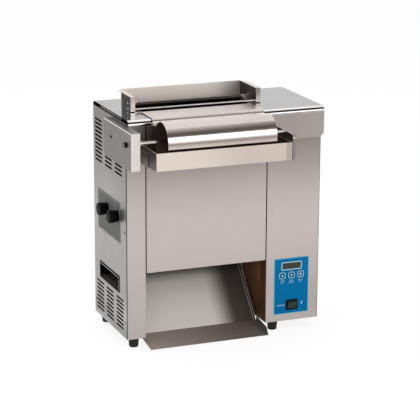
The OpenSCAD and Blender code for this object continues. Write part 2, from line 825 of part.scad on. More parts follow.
// Right support: a plate with a notch for the shaft, a foot on the column and a ledge under the tray
module roller_bracket() {
    front = tray_y0 + 4;
    corner = 12;
    bottom = tray_z - bracket_t;
    fold_end = roller_y - shaft_r - 5;
    color([0.72, 0.72, 0.71]) difference() {
        union() {
            along_x(bracket_x, bracket_x + bracket_t) {
                difference() {
                    translate([front, bottom]) square([-front, bracket_top - bottom]);
                    translate([front, bracket_top - corner]) square([corner, corner + through]);
                }
                translate([front + corner, bracket_top - corner]) circle(corner);
            }
            // Front edge and top folded outwards
            along_x(bracket_x, bracket_x + bracket_fold) difference() {
                union() {
                    translate([front, bottom]) square([corner, bracket_top - corner - bottom]);
                    translate([front + corner, bracket_top - corner]) circle(corner);
                    translate([front + corner, bracket_top - corner]) square([fold_end - front - corner, corner]);
                }
                translate([front + bracket_t, bottom - through]) square([-front, bracket_top - corner - bottom + through]);
                translate([front + corner, bracket_top - corner]) circle(corner - bracket_t);
                translate([front + corner, bracket_top - corner - through]) square([-front, corner - bracket_t + through]);
            }
            span([bracket_x - ledge_w, bracket_x + bracket_t], [front + 20, -20], [bottom, tray_z]);
            span([bracket_x - 13, bracket_x], [-bracket_t, 0], [tray_z + tray_h + 1, bracket_top]);
        }
        bar_x(bracket_x - through, bracket_x + bracket_t + through, roller_y, roller_z, shaft_r + run_gap);
        span([bracket_x - through, bracket_x + bracket_t + through],
             [roller_y - shaft_r - run_gap, roller_y + shaft_r + run_gap], [roller_z, bracket_top + through]);
    }
}

// Left support for the tray on the left column
module tray_bracket() {
    bottom = tray_z - bracket_t;
    color([0.66, 0.66, 0.65]) {
        span([tray_bracket_x, tray_bracket_x + bracket_t], [-tray_bracket_len, 0], [bottom, tray_z + tray_h - 5]);
        span([tray_bracket_x, tray_bracket_x + ledge_w], [-tray_bracket_len, -12], [bottom, tray_z]);
        span([tray_bracket_x - 18, tray_bracket_x], [-bracket_t, 0], [bottom, tray_z + tray_h - 5]);
    }
}

module butter_tray() {
    hem = 2.4;
    hem_h = 5;
    y1 = -tray_back_gap;
    top = tray_z + tray_h;
    color([0.82, 0.81, 0.79]) difference() {
        span([tray_l, tray_r], [tray_y0, y1], [tray_z, top]);
        span([tray_l + sheet, tray_r - sheet], [tray_y0 + sheet, y1 - sheet], [tray_z + sheet, top - hem_h]);
        span([tray_l + hem, tray_r - hem], [tray_y0 + hem, y1 - hem], [top - hem_h - through, top + through]);
    }
}

// Chute

function floor_z(y) = bend_z + (y - chute_bend) * tan(chute_angle);

// Folded chute: steep floor, flat lip, low side walls along the floor and a tapered flange beside the lip
module bun_chute() {
    wall = 12;
    t = chute_sheet;
    lip_wall = 19;
    nose = 14;
    color([0.7, 0.7, 0.69]) {
        along_x(chute_l, chute_r) polygon([
            [-chute_reach, lip_front_z], [chute_bend, bend_z], [chute_top_y, floor_z(chute_top_y)],
            [chute_top_y, floor_z(chute_top_y) - t / cos(chute_angle)],
            [chute_bend + t * tan(chute_angle / 2), bend_z - t], [-chute_reach, lip_front_z - t]
        ]);
        for (x = [chute_l, chute_r - t]) along_x(x, x + t) polygon([
            [chute_bend, bend_z - t / 2], [chute_bend, bend_z + 4],
            [chute_top_y - 6, floor_z(chute_top_y - 6) + wall], [chute_top_y, floor_z(chute_top_y) + wall],
            [chute_top_y, floor_z(chute_top_y) - t]
        ]);
        along_x(chute_r - t, chute_r) polygon([
            [-chute_reach, lip_front_z - t / 2], [-chute_reach + nose, lip_front_z + lip_wall],
            [chute_bend - 9, bend_z + 14], [chute_bend - 4, bend_z - t / 2]
        ]);
    }
}

// Two cross rods under the chute floor
module chute_rests() {
    off = chute_sheet + seat_gap + rest_r;
    color([0.55, 0.55, 0.55]) for (y = [chute_bend + rest_low, chute_bend + rest_high])
        bar_x(in_l, in_r, y + off * sin(chute_angle), floor_z(y) - off * cos(chute_angle), rest_r);
}

// Side controls and handles

module knob_plate() {
    top = 41;
    bottom = 74;
    y0 = front_knob_y - knob_margin_y;
    color([0.45, 0.46, 0.45]) difference() {
        span([x_l - plate_t, x_l], [y0, y0 + plate_len], [knob_z - bottom, knob_z + top]);
        for (y = [front_knob_y, rear_knob_y])
            bar_x(x_l - plate_t - through, x_l + through, y, knob_z, spindle_r + side_hole);
    }
}

// Knob with a round head, a grooved waist, a base flange and a blind bore for its spindle
module knob(y) {
    groove = 1.2;
    bore = 16;
    color([0.08, 0.08, 0.08]) translate([knob_base_x, y, knob_z]) rotate([0, -90, 0]) difference() {
        rotate_extrude() polygon([
            [0, 0], [knob_r - 1.5, 0], [knob_r - 1.5, 2.5], [knob_r - 6, 4], [knob_r - 6, 6],
            [knob_r - 1, 6.5], [knob_r - 1, 8], [knob_r - 1 - groove, 8.6], [knob_r - 1, 9.2], [knob_r - 1, 10.4],
            [knob_r - 1 - groove, 11], [knob_r, 11.6], [knob_r, knob_len - 2], [knob_r - 2, knob_len], [0, knob_len]
        ]);
        translate([0, 0, -through]) cylinder(h = bore + through, r = spindle_r + run_gap / 2);
        // Pointer groove across the face
        translate([0, -0.8, knob_len - 1]) cube([knob_r + through, 1.6, 2]);
    }
}

module front_knob() {
    knob(front_knob_y);
}

module rear_knob() {
    knob(rear_knob_y);
}

// Spindle with a scroll cam whose radius grows evenly over its turn, measured from the follower's side
module cam_spindle(y, side) {
    steps = 54;
    color([0.5, 0.5, 0.52]) translate([0, y, knob_z]) {
        bar_x(knob_base_x - 15, cam_x + cam_t, 0, 0, spindle_r);
        along_x(cam_x, cam_x + cam_t) polygon([
            for (a = [cam_dwell:-5:5]) polar(cam_min, side + a),
            for (i = [0:steps]) polar(cam_min + cam_rise * i / steps, side - cam_turn * i / steps)
        ]);
    }
}

module front_cam_spindle() {
    cam_spindle(front_knob_y, 0);
}

module rear_cam_spindle() {
    cam_spindle(rear_knob_y, 180);
}

// Handle cup for the left side: bezel outside the panel and a box inside
module handle_cup() {
    bezel = 4;
    clear = 0.4;
    half_l = grip_len / 2 - clear;
    half_h = grip_h / 2 - clear;
    wall = 2;
    difference() {
        union() {
            along_x(-bezel_t, 0) round_rect(grip_len + 2 * bezel, grip_h + 2 * bezel, 3);
            along_x(-bezel_t, grip_depth) round_rect(2 * half_l, 2 * half_h, 4);
        }
        along_x(-bezel_t - through, grip_depth - wall) round_rect(2 * (half_l - wall), 2 * (half_h - wall), 4);
    }
}

module left_handle_cup() {
    color([0.07, 0.07, 0.07]) translate([x_l, grip_y, grip_z]) handle_cup();
}

module right_handle_cup() {
    color([0.07, 0.07, 0.07]) translate([x_r, grip_y, grip_z]) mirror([1, 0, 0]) handle_cup();
}

// Control panel

module control_overlay() {
    color([0.0, 0.4, 0.66]) along_y(-overlay_t, 0) difference() {
        translate([overlay_x, overlay_z + overlay_h / 2]) round_rect(overlay_w, overlay_h, 4);
        translate([overlay_x, display_z]) round_rect(display_w, display_h, 2);
        for (i = [-1:1]) translate([overlay_x + i * key_pitch, key_z])
            round_rect(key_size + 2 * key_gap, key_size + 2 * key_gap, 5);
        translate([rocker_x, rocker_z]) square([rocker_w - 3.4, rocker_h - 1.8], center = true);
    }
}

// Dark lens: its rim lies in the overlay and its middle reaches through the column
module display_window() {
    clear = 0.2;
    color([0.05, 0.05, 0.06]) {
        along_y(-overlay_t - 0.3, 0) translate([overlay_x, display_z])
            round_rect(display_w - clear, display_h - clear, 2);
        along_y(-overlay_t, sheet + 1) translate([overlay_x, display_z])
            square([display_w - 4 - clear, display_h - 4 - clear], center = true);
    }
}

key_back = 2;

module key(i) {
    proud = 0.5;
    color([0.0, 0.42, 0.68]) along_y(-overlay_t - proud, key_back)
        translate([overlay_x + i * key_pitch, key_z]) round_rect(key_size, key_size, 5);
}

module up_key() {
    key(-1);
}

module down_key() {
    key(0);
}

module set_key() {
    key(1);
}

module rocker_bezel() {
    wall = 1;
    half_in = rocker_r + seat_gap;
    depth = 22;
    open_w = rocker_w - 7.5;
    color([0.05, 0.05, 0.05]) translate([rocker_x, 0, rocker_z]) difference() {
        union() {
            along_y(rocker_front, -overlay_t) round_rect(rocker_w, rocker_h, 1.5);
            along_y(-overlay_t, depth) square([rocker_w - 3.8, 2 * (half_in + wall)], center = true);
        }
        along_y(rocker_front - through, rocker_pivot) square([open_w, 2 * half_in - 2], center = true);
        along_y(rocker_front + 1.2, rocker_pivot + rocker_r + 1) square([open_w, 2 * half_in], center = true);
    }
    // Terminals at the back
    color([0.75, 0.6, 0.3]) translate([rocker_x, 0, rocker_z])
        for (s = [-1, 1]) span([s * 8 - 3, s * 8 + 3], [depth, depth + 9], [-0.4, 0.4]);
}

// Rocker with a shallow hollow face and round ends about its pivot, resting tipped to OFF
module power_rocker() {
    tip = 8;
    w = rocker_w - 8.3;
    face = 8.4;
    color([0.09, 0.09, 0.09]) translate([rocker_x, rocker_pivot, rocker_z]) rotate([tip, 0, 0])
        along_x(-w / 2, w / 2) intersection() {
            circle(rocker_r);
            polygon([[-face - 0.9, -rocker_r], [-face + 0.6, 0], [-face - 0.9, rocker_r], [5, rocker_r], [5, -rocker_r]]);
        }
}

// Feet
foot_left = x_l + 24;
foot_right = in_r + 28;
foot_front = 17;
foot_rear = body_d - 31;

module feet() {
    color([0.06, 0.06, 0.06]) for (x = [foot_left, foot_right], y = [foot_front, foot_rear])
        translate([x, y, -foot_h]) difference() {
            rotate_extrude() polygon([
                [0, 0], [foot_r - 3.5, 0], [foot_r - 2, 1.5], [foot_r, foot_h], [0, foot_h]
            ]);
            translate([0, 0, -through]) cylinder(h = 8 + through, r = 5);
        }
}

// Heated platen and conveyors

heater_r = 4.5;
heater_rows = 5;
heater_low = 60;
heater_high = 70;
platen_l = lane_l + 1;
platen_r = lane_r - 1;

// Platen with wedge edges, lugs to the inner walls and cross bores for the heaters
module platen() {
    h = platen_t / 2;
    top = platen_z + platen_h;
    color([0.5, 0.5, 0.52]) difference() {
        union() {
            along_x(platen_l, platen_r) polygon([
                [platen_y - h, platen_z + 10], [platen_y - h + 6, platen_z], [platen_y + h - 6, platen_z],
                [platen_y + h, platen_z + 10], [platen_y + h, top - 18], [platen_y + 2, top],
                [platen_y - 2, top], [platen_y - h, top - 18]
            ]);
            for (z = [platen_z + 15, top - 45]) span([in_l, in_r], [platen_y - 8, platen_y + 8], [z, z + 20]);
        }
        for (i = [0:heater_rows - 1])
            bar_x(in_l - through, in_r + through, platen_y, heater_z(i), heater_r + run_gap);
    }
}

function heater_z(i) = platen_z + heater_low + i * (platen_h - heater_low - heater_high) / (heater_rows - 1);

module platen_heaters() {
    color([0.4, 0.38, 0.36]) for (i = [0:heater_rows - 1]) {
        bar_x(platen_l - 7, platen_r + 7, platen_y, heater_z(i), heater_r);
        bar_x(platen_r + 7, platen_r + 12, platen_y, heater_z(i), 1.5);
    }
}

// Conveyor frame: two side plates on the drive shaft, a slide bed behind the belt and tie rods
module conveyor_frame(y, face) {
    bed = drum_r - 3;
    margin = 26;
    color([0.58, 0.58, 0.6]) difference() {
        union() {
            for (x = [frame_l, frame_r - frame_t]) along_x(x, x + frame_t)
                loop_area([y, drive_z], frame_half, [y, idler_z], frame_half);
            span([frame_l, frame_r], face > 0 ? [y + bed, y + bed + 2.5] : [y - bed - 2.5, y - bed],
                 [idler_z + margin, drive_z - margin]);
            for (z = [idler_z + 60, drive_z - 60]) bar_x(frame_l, frame_r, y, z, 5);
        }
        bar_x(frame_l - through, frame_r + through, y, drive_z, drive_r + run_gap);
        bar_x(frame_l - through, frame_r + through, y, idler_z, idler_r + run_gap);
    }
}

follow = cam_min + cam_pin + seat_gap;

module front_conveyor_frame() {
    conveyor_frame(front_y, 1);
    color([0.58, 0.58, 0.6]) bar_x(cam_x, frame_l, front_knob_y + follow, knob_z, cam_pin);
}

module rear_conveyor_frame() {
    arm = 9;
    conveyor_frame(rear_y, -1);
    color([0.58, 0.58, 0.6]) {
        bar_x(cam_x, frame_l, rear_knob_y - follow, knob_z, cam_pin);
        span([frame_l, frame_l + frame_t], [rear_knob_y - follow - arm, rear_y], [knob_z - arm, knob_z + arm]);
    }
}

module belt(y) {
    l = lane_l - belt_side;
    r = lane_r + belt_side;
    color([0.3, 0.3, 0.31]) along_x(l, r)
        belt_band(y, idler_z, drive_z, belt_in, belt_out);
}

module front_belt() {
    belt(front_y);
}

module rear_belt() {
    belt(rear_y);
}

// Hollow drum with a disc at each end
module drum(y, z) {
    l = frame_l + frame_t + drum_gap;
    r = frame_r - frame_t - drum_gap;
    wall = 2.5;
    disc = 4;
    difference() {
        bar_x(l, r, y, z, drum_r);
        bar_x(l + disc, r - disc, y, z, drum_r - wall);
    }
}

module drive_shaft(y, x0, turn) {
    drum(y, drive_z);
    bar_x(x0, gear_x + gear_t + 4, y, drive_z, drive_r);
    translate([0, y, drive_z]) along_x(gear_x, gear_x + gear_t) gear_area(gear_teeth, gear_m, turn);
}

// Front drive shaft reaches into the drive box and carries the chain sprocket there
module front_drive_shaft() {
    color([0.62, 0.62, 0.63]) {
        drive_shaft(front_y, sprocket_x - 3, 0);
        translate([0, front_y, drive_z]) along_x(sprocket_x, sprocket_x + sprocket_t)
            sprocket_area(drive_teeth, drive_pitch_r);
    }
}

module rear_drive_shaft() {
    color([0.62, 0.62, 0.63]) drive_shaft(rear_y, in_l - wall_t - bush_flange - 3, 180 / gear_teeth);
}

module idler(y) {
    color([0.62, 0.62, 0.63]) {
        bar_x(frame_l - 2, frame_r + 2, y, idler_z, idler_r);
        drum(y, idler_z);
    }
}

module front_idler() {
    idler(front_y);
}

module rear_idler() {
    idler(rear_y);
}

motor_y = front_y + 2 * gear_r;
motor_x = gear_x + gear_t + 5;
motor_shaft_r = 6;
gearbox_len = 46;
gearbox_half = 40;
motor_len = 62;

// Pinion on the motor's output shaft
module motor_gear() {
    color([0.55, 0.5, 0.4]) {
        translate([0, motor_y, drive_z]) along_x(gear_x, gear_x + gear_t)
            gear_area(gear_teeth, gear_m, 180 / gear_teeth);
        bar_x(gear_x, motor_x + 18, motor_y, drive_z, motor_shaft_r);
    }
}

module idler_gear() {
    color([0.55, 0.5, 0.4]) difference() {
        translate([0, front_y + 4 * gear_r, drive_z]) along_x(gear_x, gear_x + gear_t)
            gear_area(gear_teeth, gear_m, 0);
        bar_x(gear_x - through, gear_x + gear_t + through, front_y + 4 * gear_r, drive_z, idler_r + run_gap);
    }
}

// Gearbox on four legs from the inner wall, with the motor behind it
module gearmotor() {
    box = gearbox_len;
    half = gearbox_half;
    leg = half - 8;
    foot = half / 4;
    motor_r = half - 6;
    color([0.25, 0.26, 0.28]) difference() {
        union() {
            span([motor_x, motor_x + box], [motor_y - half, motor_y + half], [drive_z - half, drive_z + half]);
            bar_x(motor_x + box, motor_x + box + motor_len, motor_y, drive_z, motor_r);
            for (s = [-1, 1], u = [-1, 1])
                bar_x(in_r + wall_t, motor_x, motor_y + s * foot, drive_z + u * leg, 4);
        }
        bar_x(motor_x - through, motor_x + 20, motor_y, drive_z, motor_shaft_r + run_gap);
    }
}

// Cooling fan behind the rear grille

fan_y = body_d - sheet - fan_depth;
fan_hub = 19;

module fan_housing() {
    color([0.1, 0.1, 0.1]) translate([fan_x, 0, fan_z]) {
        along_y(fan_y, body_d - sheet) difference() {
            round_rect(2 * fan_half, 2 * fan_half, 6);
            circle(fan_r);
        }
        along_y(fan_y, fan_y + 4) {
            circle(fan_hub);
            for (i = [0:2]) rotate(i * 120 + 30) translate([0, -3]) square([fan_r + 2, 6]);
        }
        bar_y(fan_y + 4, fan_y + 14, 0, 0, 3);
    }
}

// Rotor with blades set at an angle to the axis
module fan_rotor() {
    blades = 7;
    chord = 24;
    pitch = 38;
    rotor_t = 16;
    reach = fan_r - 2;
    y0 = fan_y + 5;
    color([0.13, 0.13, 0.13]) translate([fan_x, y0, fan_z]) difference() {
        intersection() {
            union() {
                along_y(0, rotor_t) circle(fan_hub);
                for (i = [0:blades - 1]) rotate([0, i * 360 / blades, 0]) translate([0, rotor_t / 2, 0])
                    rotate([pitch, 0, 0]) span([fan_hub - 2, reach], [-0.9, 0.9], [-chord / 2, chord / 2]);
            }
            along_y(-0.5, rotor_t + 1) circle(reach);
        }
        bar_y(-through, 10, 0, 0, 3 + run_gap);
    }
}

// Control board behind the keys and display, on four spacers
module control_board() {
    w = 104;
    z0 = 98;
    z1 = 184;
    board_t = 1.6;
    lens_block_w = 52;
    lens_block_h = 18;
    supply_l = 40;
    supply_r = 10;
    supply_rise = 8;
    supply_top = 48;
    supply_depth = 30;
    cap_gap = 0.8;
    color([0.1, 0.35, 0.2]) {
        along_y(board_y, board_y + board_t) translate([overlay_x, (z0 + z1) / 2]) square([w, z1 - z0], center = true);
        for (sx = [-1, 1], z = [z0 + 5, z1 - 5]) bar_y(sheet, board_y, overlay_x + sx * (w / 2 - 5), z, 3);
        for (i = [-1:1]) bar_y(key_back + cap_gap, board_y, overlay_x + i * key_pitch, key_z, 3);
        along_y(sheet + 1.6, board_y) translate([overlay_x, display_z]) square([lens_block_w, lens_block_h], center = true);
        span([overlay_x - supply_l, overlay_x + supply_r], [board_y + board_t, board_y + supply_depth],
             [z0 + supply_rise, z0 + supply_top]);
    }
}

// Inlet gland on the rear cover: hexagon outside, threaded body through the sheet and a nut inside
module cord_gland() {
    color([0.09, 0.09, 0.09]) translate([gland_x(), 0, gland_z]) difference() {
        union() {
            along_y(body_d, body_d + gland_hex) circle(13, $fn = 6);
            translate([0, body_d + gland_hex, 0]) rotate([-90, 0, 0]) rotate_extrude()
                polygon([[0, 0], [11, 0], [11, gland_nose - 3], [8.5, gland_nose], [0, gland_nose]]);
            along_y(body_d - sheet - 12, body_d) circle(gland_body);
            along_y(body_d - sheet - 6, body_d - sheet) circle(14, $fn = 6);
        }
        bar_y(body_d - 30, body_d + 20, 0, 0, gland_r);
    }
}

place() base_pan();
place() left_side_panel();
place() left_front_column();
place() front_panel();
place() right_front_column();
place() right_side_panel();
place() rear_cover();
place() left_inner_wall();
place() right_inner_wall();
place() top_cover();
place() right_apron();
place() landing_plate();
place() feeder_back_wall();
place() feeder_left_wall();
place() feeder_right_wall();
place() feeder_front_rod();
place() lane_divider();
place() drive_box_cover();
place() drive_box_plate();
place() roller_chain();
place() shaft_bushes();
place() roller_tube();
place() roller_shaft();
place() roller_bracket();
place() tray_bracket();
place() butter_tray();
place() bun_chute();
place() chute_rests();
place() knob_plate();
place() front_knob();
place() rear_knob();
place() front_cam_spindle();
place() rear_cam_spindle();
place() left_handle_cup();
place() right_handle_cup();
place() control_overlay();
place() display_window();
place() up_key();
place() down_key();
place() set_key();
place() rocker_bezel();
place() power_rocker();
place() feet();
place() platen();
place() platen_heaters();
place() front_conveyor_frame();
place() rear_conveyor_frame();
place() front_belt();
place() rear_belt();
place() front_drive_shaft();
place() rear_drive_shaft();
place() front_idler();
place() rear_idler();
place() motor_gear();
place() idler_gear();
place() gearmotor();
place() fan_housing();
place() fan_rotor();
place() control_board();
place() cord_gland();
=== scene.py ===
"""Looks of the vertical toaster: studio, camera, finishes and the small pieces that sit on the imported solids."""

import json
import logging
import math
from dataclasses import dataclass, field, replace
from enum import Enum
from typing import Iterable, Sequence

import bmesh
import bpy
from mathutils import Matrix, Vector

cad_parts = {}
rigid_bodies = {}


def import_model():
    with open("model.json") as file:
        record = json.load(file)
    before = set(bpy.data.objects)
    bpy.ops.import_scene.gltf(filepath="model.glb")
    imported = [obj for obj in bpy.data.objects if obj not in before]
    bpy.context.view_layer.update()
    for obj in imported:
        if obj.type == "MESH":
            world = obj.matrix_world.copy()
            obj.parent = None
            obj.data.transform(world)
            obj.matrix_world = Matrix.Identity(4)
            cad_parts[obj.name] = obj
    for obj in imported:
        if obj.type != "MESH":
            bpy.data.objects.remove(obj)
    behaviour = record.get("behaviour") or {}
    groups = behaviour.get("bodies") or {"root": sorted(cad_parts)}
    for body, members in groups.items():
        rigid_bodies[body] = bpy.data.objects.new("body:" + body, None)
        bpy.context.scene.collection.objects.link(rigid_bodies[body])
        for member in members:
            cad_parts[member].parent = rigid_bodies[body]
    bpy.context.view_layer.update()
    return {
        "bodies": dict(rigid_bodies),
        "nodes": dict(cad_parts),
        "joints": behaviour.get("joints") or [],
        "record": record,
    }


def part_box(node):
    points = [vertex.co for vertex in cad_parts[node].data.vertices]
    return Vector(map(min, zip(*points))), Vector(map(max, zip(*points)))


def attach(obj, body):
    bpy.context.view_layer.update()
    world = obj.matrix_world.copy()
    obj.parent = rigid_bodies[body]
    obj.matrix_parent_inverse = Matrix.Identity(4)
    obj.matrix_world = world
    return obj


Tree = bpy.types.NodeTree
Node = bpy.types.Node
Socket = bpy.types.NodeSocket
Shape = bmesh.types.BMesh
Sockets = dict[int | str, object]
Placed = tuple[Shape, Matrix]
Box = tuple[Vector, Vector]
Corners = tuple[tuple[float, ...], tuple[float, ...]]

LOG = logging.getLogger("toaster")
MM = 0.001
# Cabinet's half width, depth and foot height in millimetres
HALF_WIDTH, DEPTH, FOOT = 289.0, 281.0, 26.0
# Rounding of the edges of thin trim, in millimetres
TRIM_EDGE = 0.05
# Segments round the head of a screw or rivet, and samples of a rounded edge
HEAD_STEPS, EDGE_SAMPLES = 20, 4
# Distance in metres below which two points are one
MERGE = 1e-7
# Half width in metres of a box that takes in the whole part
REACH = 3.0
# Range that most values of a noise texture lie in
NOISE_RANGE = (0.3, 0.7)
# Tones that several sheets share: painted shade behind the vents, and painted shade in a joint
VENT_SHADE = "#171514"
JOINT_SHADE = "#1D1816"


def cabinet_point(x: float, y: float, z: float) -> Vector:
    """Point in metres in the part's frame, from millimetres off the cabinet's front face, middle and underside."""
    origin = Vector((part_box("right_side_panel")[1].x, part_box("rear_cover")[1].y, 0.0))
    return origin + Vector((x - HALF_WIDTH, y - DEPTH, z + FOOT)) * MM


def centre(box: Box) -> Vector:
    """Middle of a box."""
    return (box[0] + box[1]) / 2


def srgb(code: str) -> tuple[float, float, float, float]:
    """Turn an sRGB hex value into linear colour.

    Args:
        code: Hex value such as #A0B0C0.

    Returns:
        Red, green, blue and an alpha of one.
    """
    channels = [int(code[i : i + 2], 16) / 255 for i in (1, 3, 5)]
    r, g, b = (c / 12.92 if c <= 0.04045 else ((c + 0.055) / 1.055) ** 2.4 for c in channels)
    return r, g, b, 1.0


def feed(tree: Tree, node: Node, sockets: Sockets) -> None:
    """Fill or link the inputs of a node.

    Args:
        tree: Node tree that holds the node.
        node: The node.
        sockets: Input values by name or number; an output socket is linked.
    """
    for name, value in sockets.items():
        if isinstance(value, Socket):
            tree.links.new(value, node.inputs[name])
        else:
            node.inputs[name].default_value = value


def add_node(tree: Tree, kind: str, sockets: Sockets | None = None, **settings: object) -> Node:
    """Add a node, set its options and fill or link its inputs.

    Args:
        tree: Node tree that takes the node.
        kind: Blender's name of the node type.
        sockets: Input values by name or number; an output socket is linked.
        settings: Options of the node.

    Returns:
        The new node.
    """
    node = tree.nodes.new(kind)
    for name, value in settings.items():
        setattr(node, name, value)
    feed(tree, node, sockets or {})
    return node


def bare_tree(owner: bpy.types.ID) -> Tree:
    """Give a material or a world an empty node tree.

    Args:
        owner: The material or world.

    Returns:
        Its tree, without nodes.
    """
    owner.use_nodes = True
    owner.node_tree.nodes.clear()
    return owner.node_tree


def new_object(name: str, data: bpy.types.ID) -> bpy.types.Object:
    """Put a mesh, curve, lamp or camera into the scene.

    Args:
        name: Name of the object.
        data: What it holds.

    Returns:
        The object, linked to the scene.
    """
    made = bpy.data.objects.new(name, data)
    bpy.context.scene.collection.objects.link(made)
    return made


def to_mesh(name: str, bm: Shape) -> bpy.types.Mesh:
    """Turn a shape into a mesh.

    Args:
        name: Name of the mesh.
        bm: The shape; freed here.

    Returns:
        The new mesh.
    """
    mesh = bpy.data.meshes.new(name)
    bm.to_mesh(mesh)
    bm.free()
    return mesh


def evaluated(holder: bpy.types.Object) -> Shape:
    """Take the final shape of an object with words or with modifiers.

    Args:
        holder: The object.

    Returns:
        Its shape.
    """
    mesh = bpy.data.meshes.new_from_object(holder.evaluated_get(bpy.context.evaluated_depsgraph_get()))
    bm = bmesh.new()
    bm.from_mesh(mesh)
    bpy.data.meshes.remove(mesh)
    return bm


class Grain(Enum):
    """Direction that the brushed lines of a sheet run in."""

    LEVEL = 0
    DEEP = 1
    UPRIGHT = 2


class Face(Enum):
    """Side of the cabinet that a flat piece lies on, with the directions of its own X, Y and Z."""

    FRONT = ((1, 0, 0), (0, 0, 1), (0, -1, 0))
    LEFT = ((0, -1, 0), (0, 0, 1), (-1, 0, 0))
    RIGHT = ((0, 1, 0), (0, 0, 1), (1, 0, 0))
    REAR = ((-1, 0, 0), (0, 0, 1), (0, 1, 0))

    def at(self, point: Sequence[float]) -> Matrix:
        """Placement of a flat piece on this side, with its middle at a point."""
        return Matrix.Translation(point) @ Matrix(self.value).transposed().to_4x4()


@dataclass(frozen=True)
class Finish:
    """A surface finish that makes one procedural material."""

    name: str

    def material(self) -> bpy.types.Material:
        """Make the material.

        Returns:
            A new material with its nodes wired.
        """
        made = bpy.data.materials.new(self.name)
        tree = bare_tree(made)
        shader = add_node(tree, "ShaderNodeBsdfPrincipled")
        add_node(tree, "ShaderNodeOutputMaterial", {"Surface": shader.outputs[0]})
        self.wire(tree, shader, add_node(tree, "ShaderNodeTexCoord").outputs["Object"])
        return made

    def wire(self, tree: Tree, shader: Node, coord: Socket) -> None:
        """Wire the finish into its shader."""
        raise NotImplementedError

    @staticmethod
    def blend(tree: Tree, factor: object, first: object, second: object) -> Socket:
        """Colour between two colours by a factor."""
        mix = add_node(tree, "ShaderNodeMix", {0: factor, 6: first, 7: second}, data_type="RGBA")
        return mix.outputs[2]

    @staticmethod
    def spread(tree: Tree, value: Socket, low: float, high: float) -> Socket:
        """Spread a noise value, which keeps near its middle, over a range.

        Args:
            tree: Node tree of the material.
            value: The noise value.
            low: Lower end of the range.
            high: Upper end of the range.

        Returns:
            The value in its new range.
        """
        least, most = NOISE_RANGE
        sockets = {"Value": value, "From Min": least, "From Max": most, "To Min": low, "To Max": high}
        return add_node(tree, "ShaderNodeMapRange", sockets).outputs[0]


@dataclass(frozen=True)
class Patch:
    """Box in metres in the part's frame that holds one face of another tone.

    The tone ends at the box, or fades towards it over the given share of the box's half size along the soft axes.
    """

    tone: str
    low: Sequence[float]
    high: Sequence[float]
    fade: float = 0.001
    soft: tuple[int, int, int] = (1, 1, 1)

    def inside(self, tree: Tree, coord: Socket) -> Socket:
        """Factor that tells how far a point lies in the box.

        Args:
            tree: Node tree of the material.
            coord: Point in the part's frame.

        Returns:
            One well inside the box and zero outside.
        """
        half = [(b - a) / 2 for a, b in zip(self.low, self.high)]
        shift = [-(a + b) / 2 / h for a, b, h in zip(self.low, self.high, half)]
        scale = [1 / h for h in half]
        unit = add_node(tree, "ShaderNodeMapping", {"Vector": coord, "Location": shift, "Scale": scale}).outputs[0]
        away = add_node(tree, "ShaderNodeVectorMath", {0: unit}, operation="ABSOLUTE").outputs[0]
        whole = add_node(tree, "ShaderNodeVectorMath", {0: away}, operation="FLOOR").outputs[0]
        rest = add_node(tree, "ShaderNodeVectorMath", {0: away}, operation="FRACTION").outputs[0]
        part = {0: rest, 1: self.soft, 2: whole}
        eased = add_node(tree, "ShaderNodeVectorMath", part, operation="MULTIPLY_ADD").outputs[0]
        x, y, z = add_node(tree, "ShaderNodeSeparateXYZ", {0: eased}).outputs
        flat = add_node(tree, "ShaderNodeMath", {0: x, 1: y}, operation="MAXIMUM").outputs[0]
        far = add_node(tree, "ShaderNodeMath", {0: flat, 1: z}, operation="MAXIMUM").outputs[0]
        span = {"Value": far, "From Min": 1 - self.fade, "From Max": 1.0, "To Min": 1.0, "To Max": 0.0}
        return add_node(tree, "ShaderNodeMapRange", span, interpolation_type="SMOOTHSTEP").outputs[0]


def band(low: float, high: float) -> Corners:
    """Box between two heights in metres that takes in the whole part."""
    return (-REACH, -REACH, low), (REACH, REACH, high)


def layer(
    node: str, axis: int, start: float, end: float, side: int = 0, trim: dict[int, tuple[float, float]] | None = None
) -> Corners:
    """Box across a CAD node between two depths below one of its ends.

    Args:
        node: CAD node.
        axis: Axis that the depths are counted along.
        start: First depth in millimetres.
        end: Last depth in millimetres.
        side: Zero counts from the low end, one from the high end.
        trim: Millimetres cut from the low and high end of another axis; one millimetre is added where none is given.

    Returns:
        Lowest and highest corner in metres.
    """
    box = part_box(node)
    low, high = ([*corner] for corner in box)
    for other in range(3):
        first, last = (trim or {}).get(other, (-1.0, -1.0))
        low[other] += first * MM
        high[other] -= last * MM
    ends = [box[side][axis] + (1 - 2 * side) * depth * MM for depth in (start, end)]
    low[axis], high[axis] = min(ends), max(ends)
    return tuple(low), tuple(high)


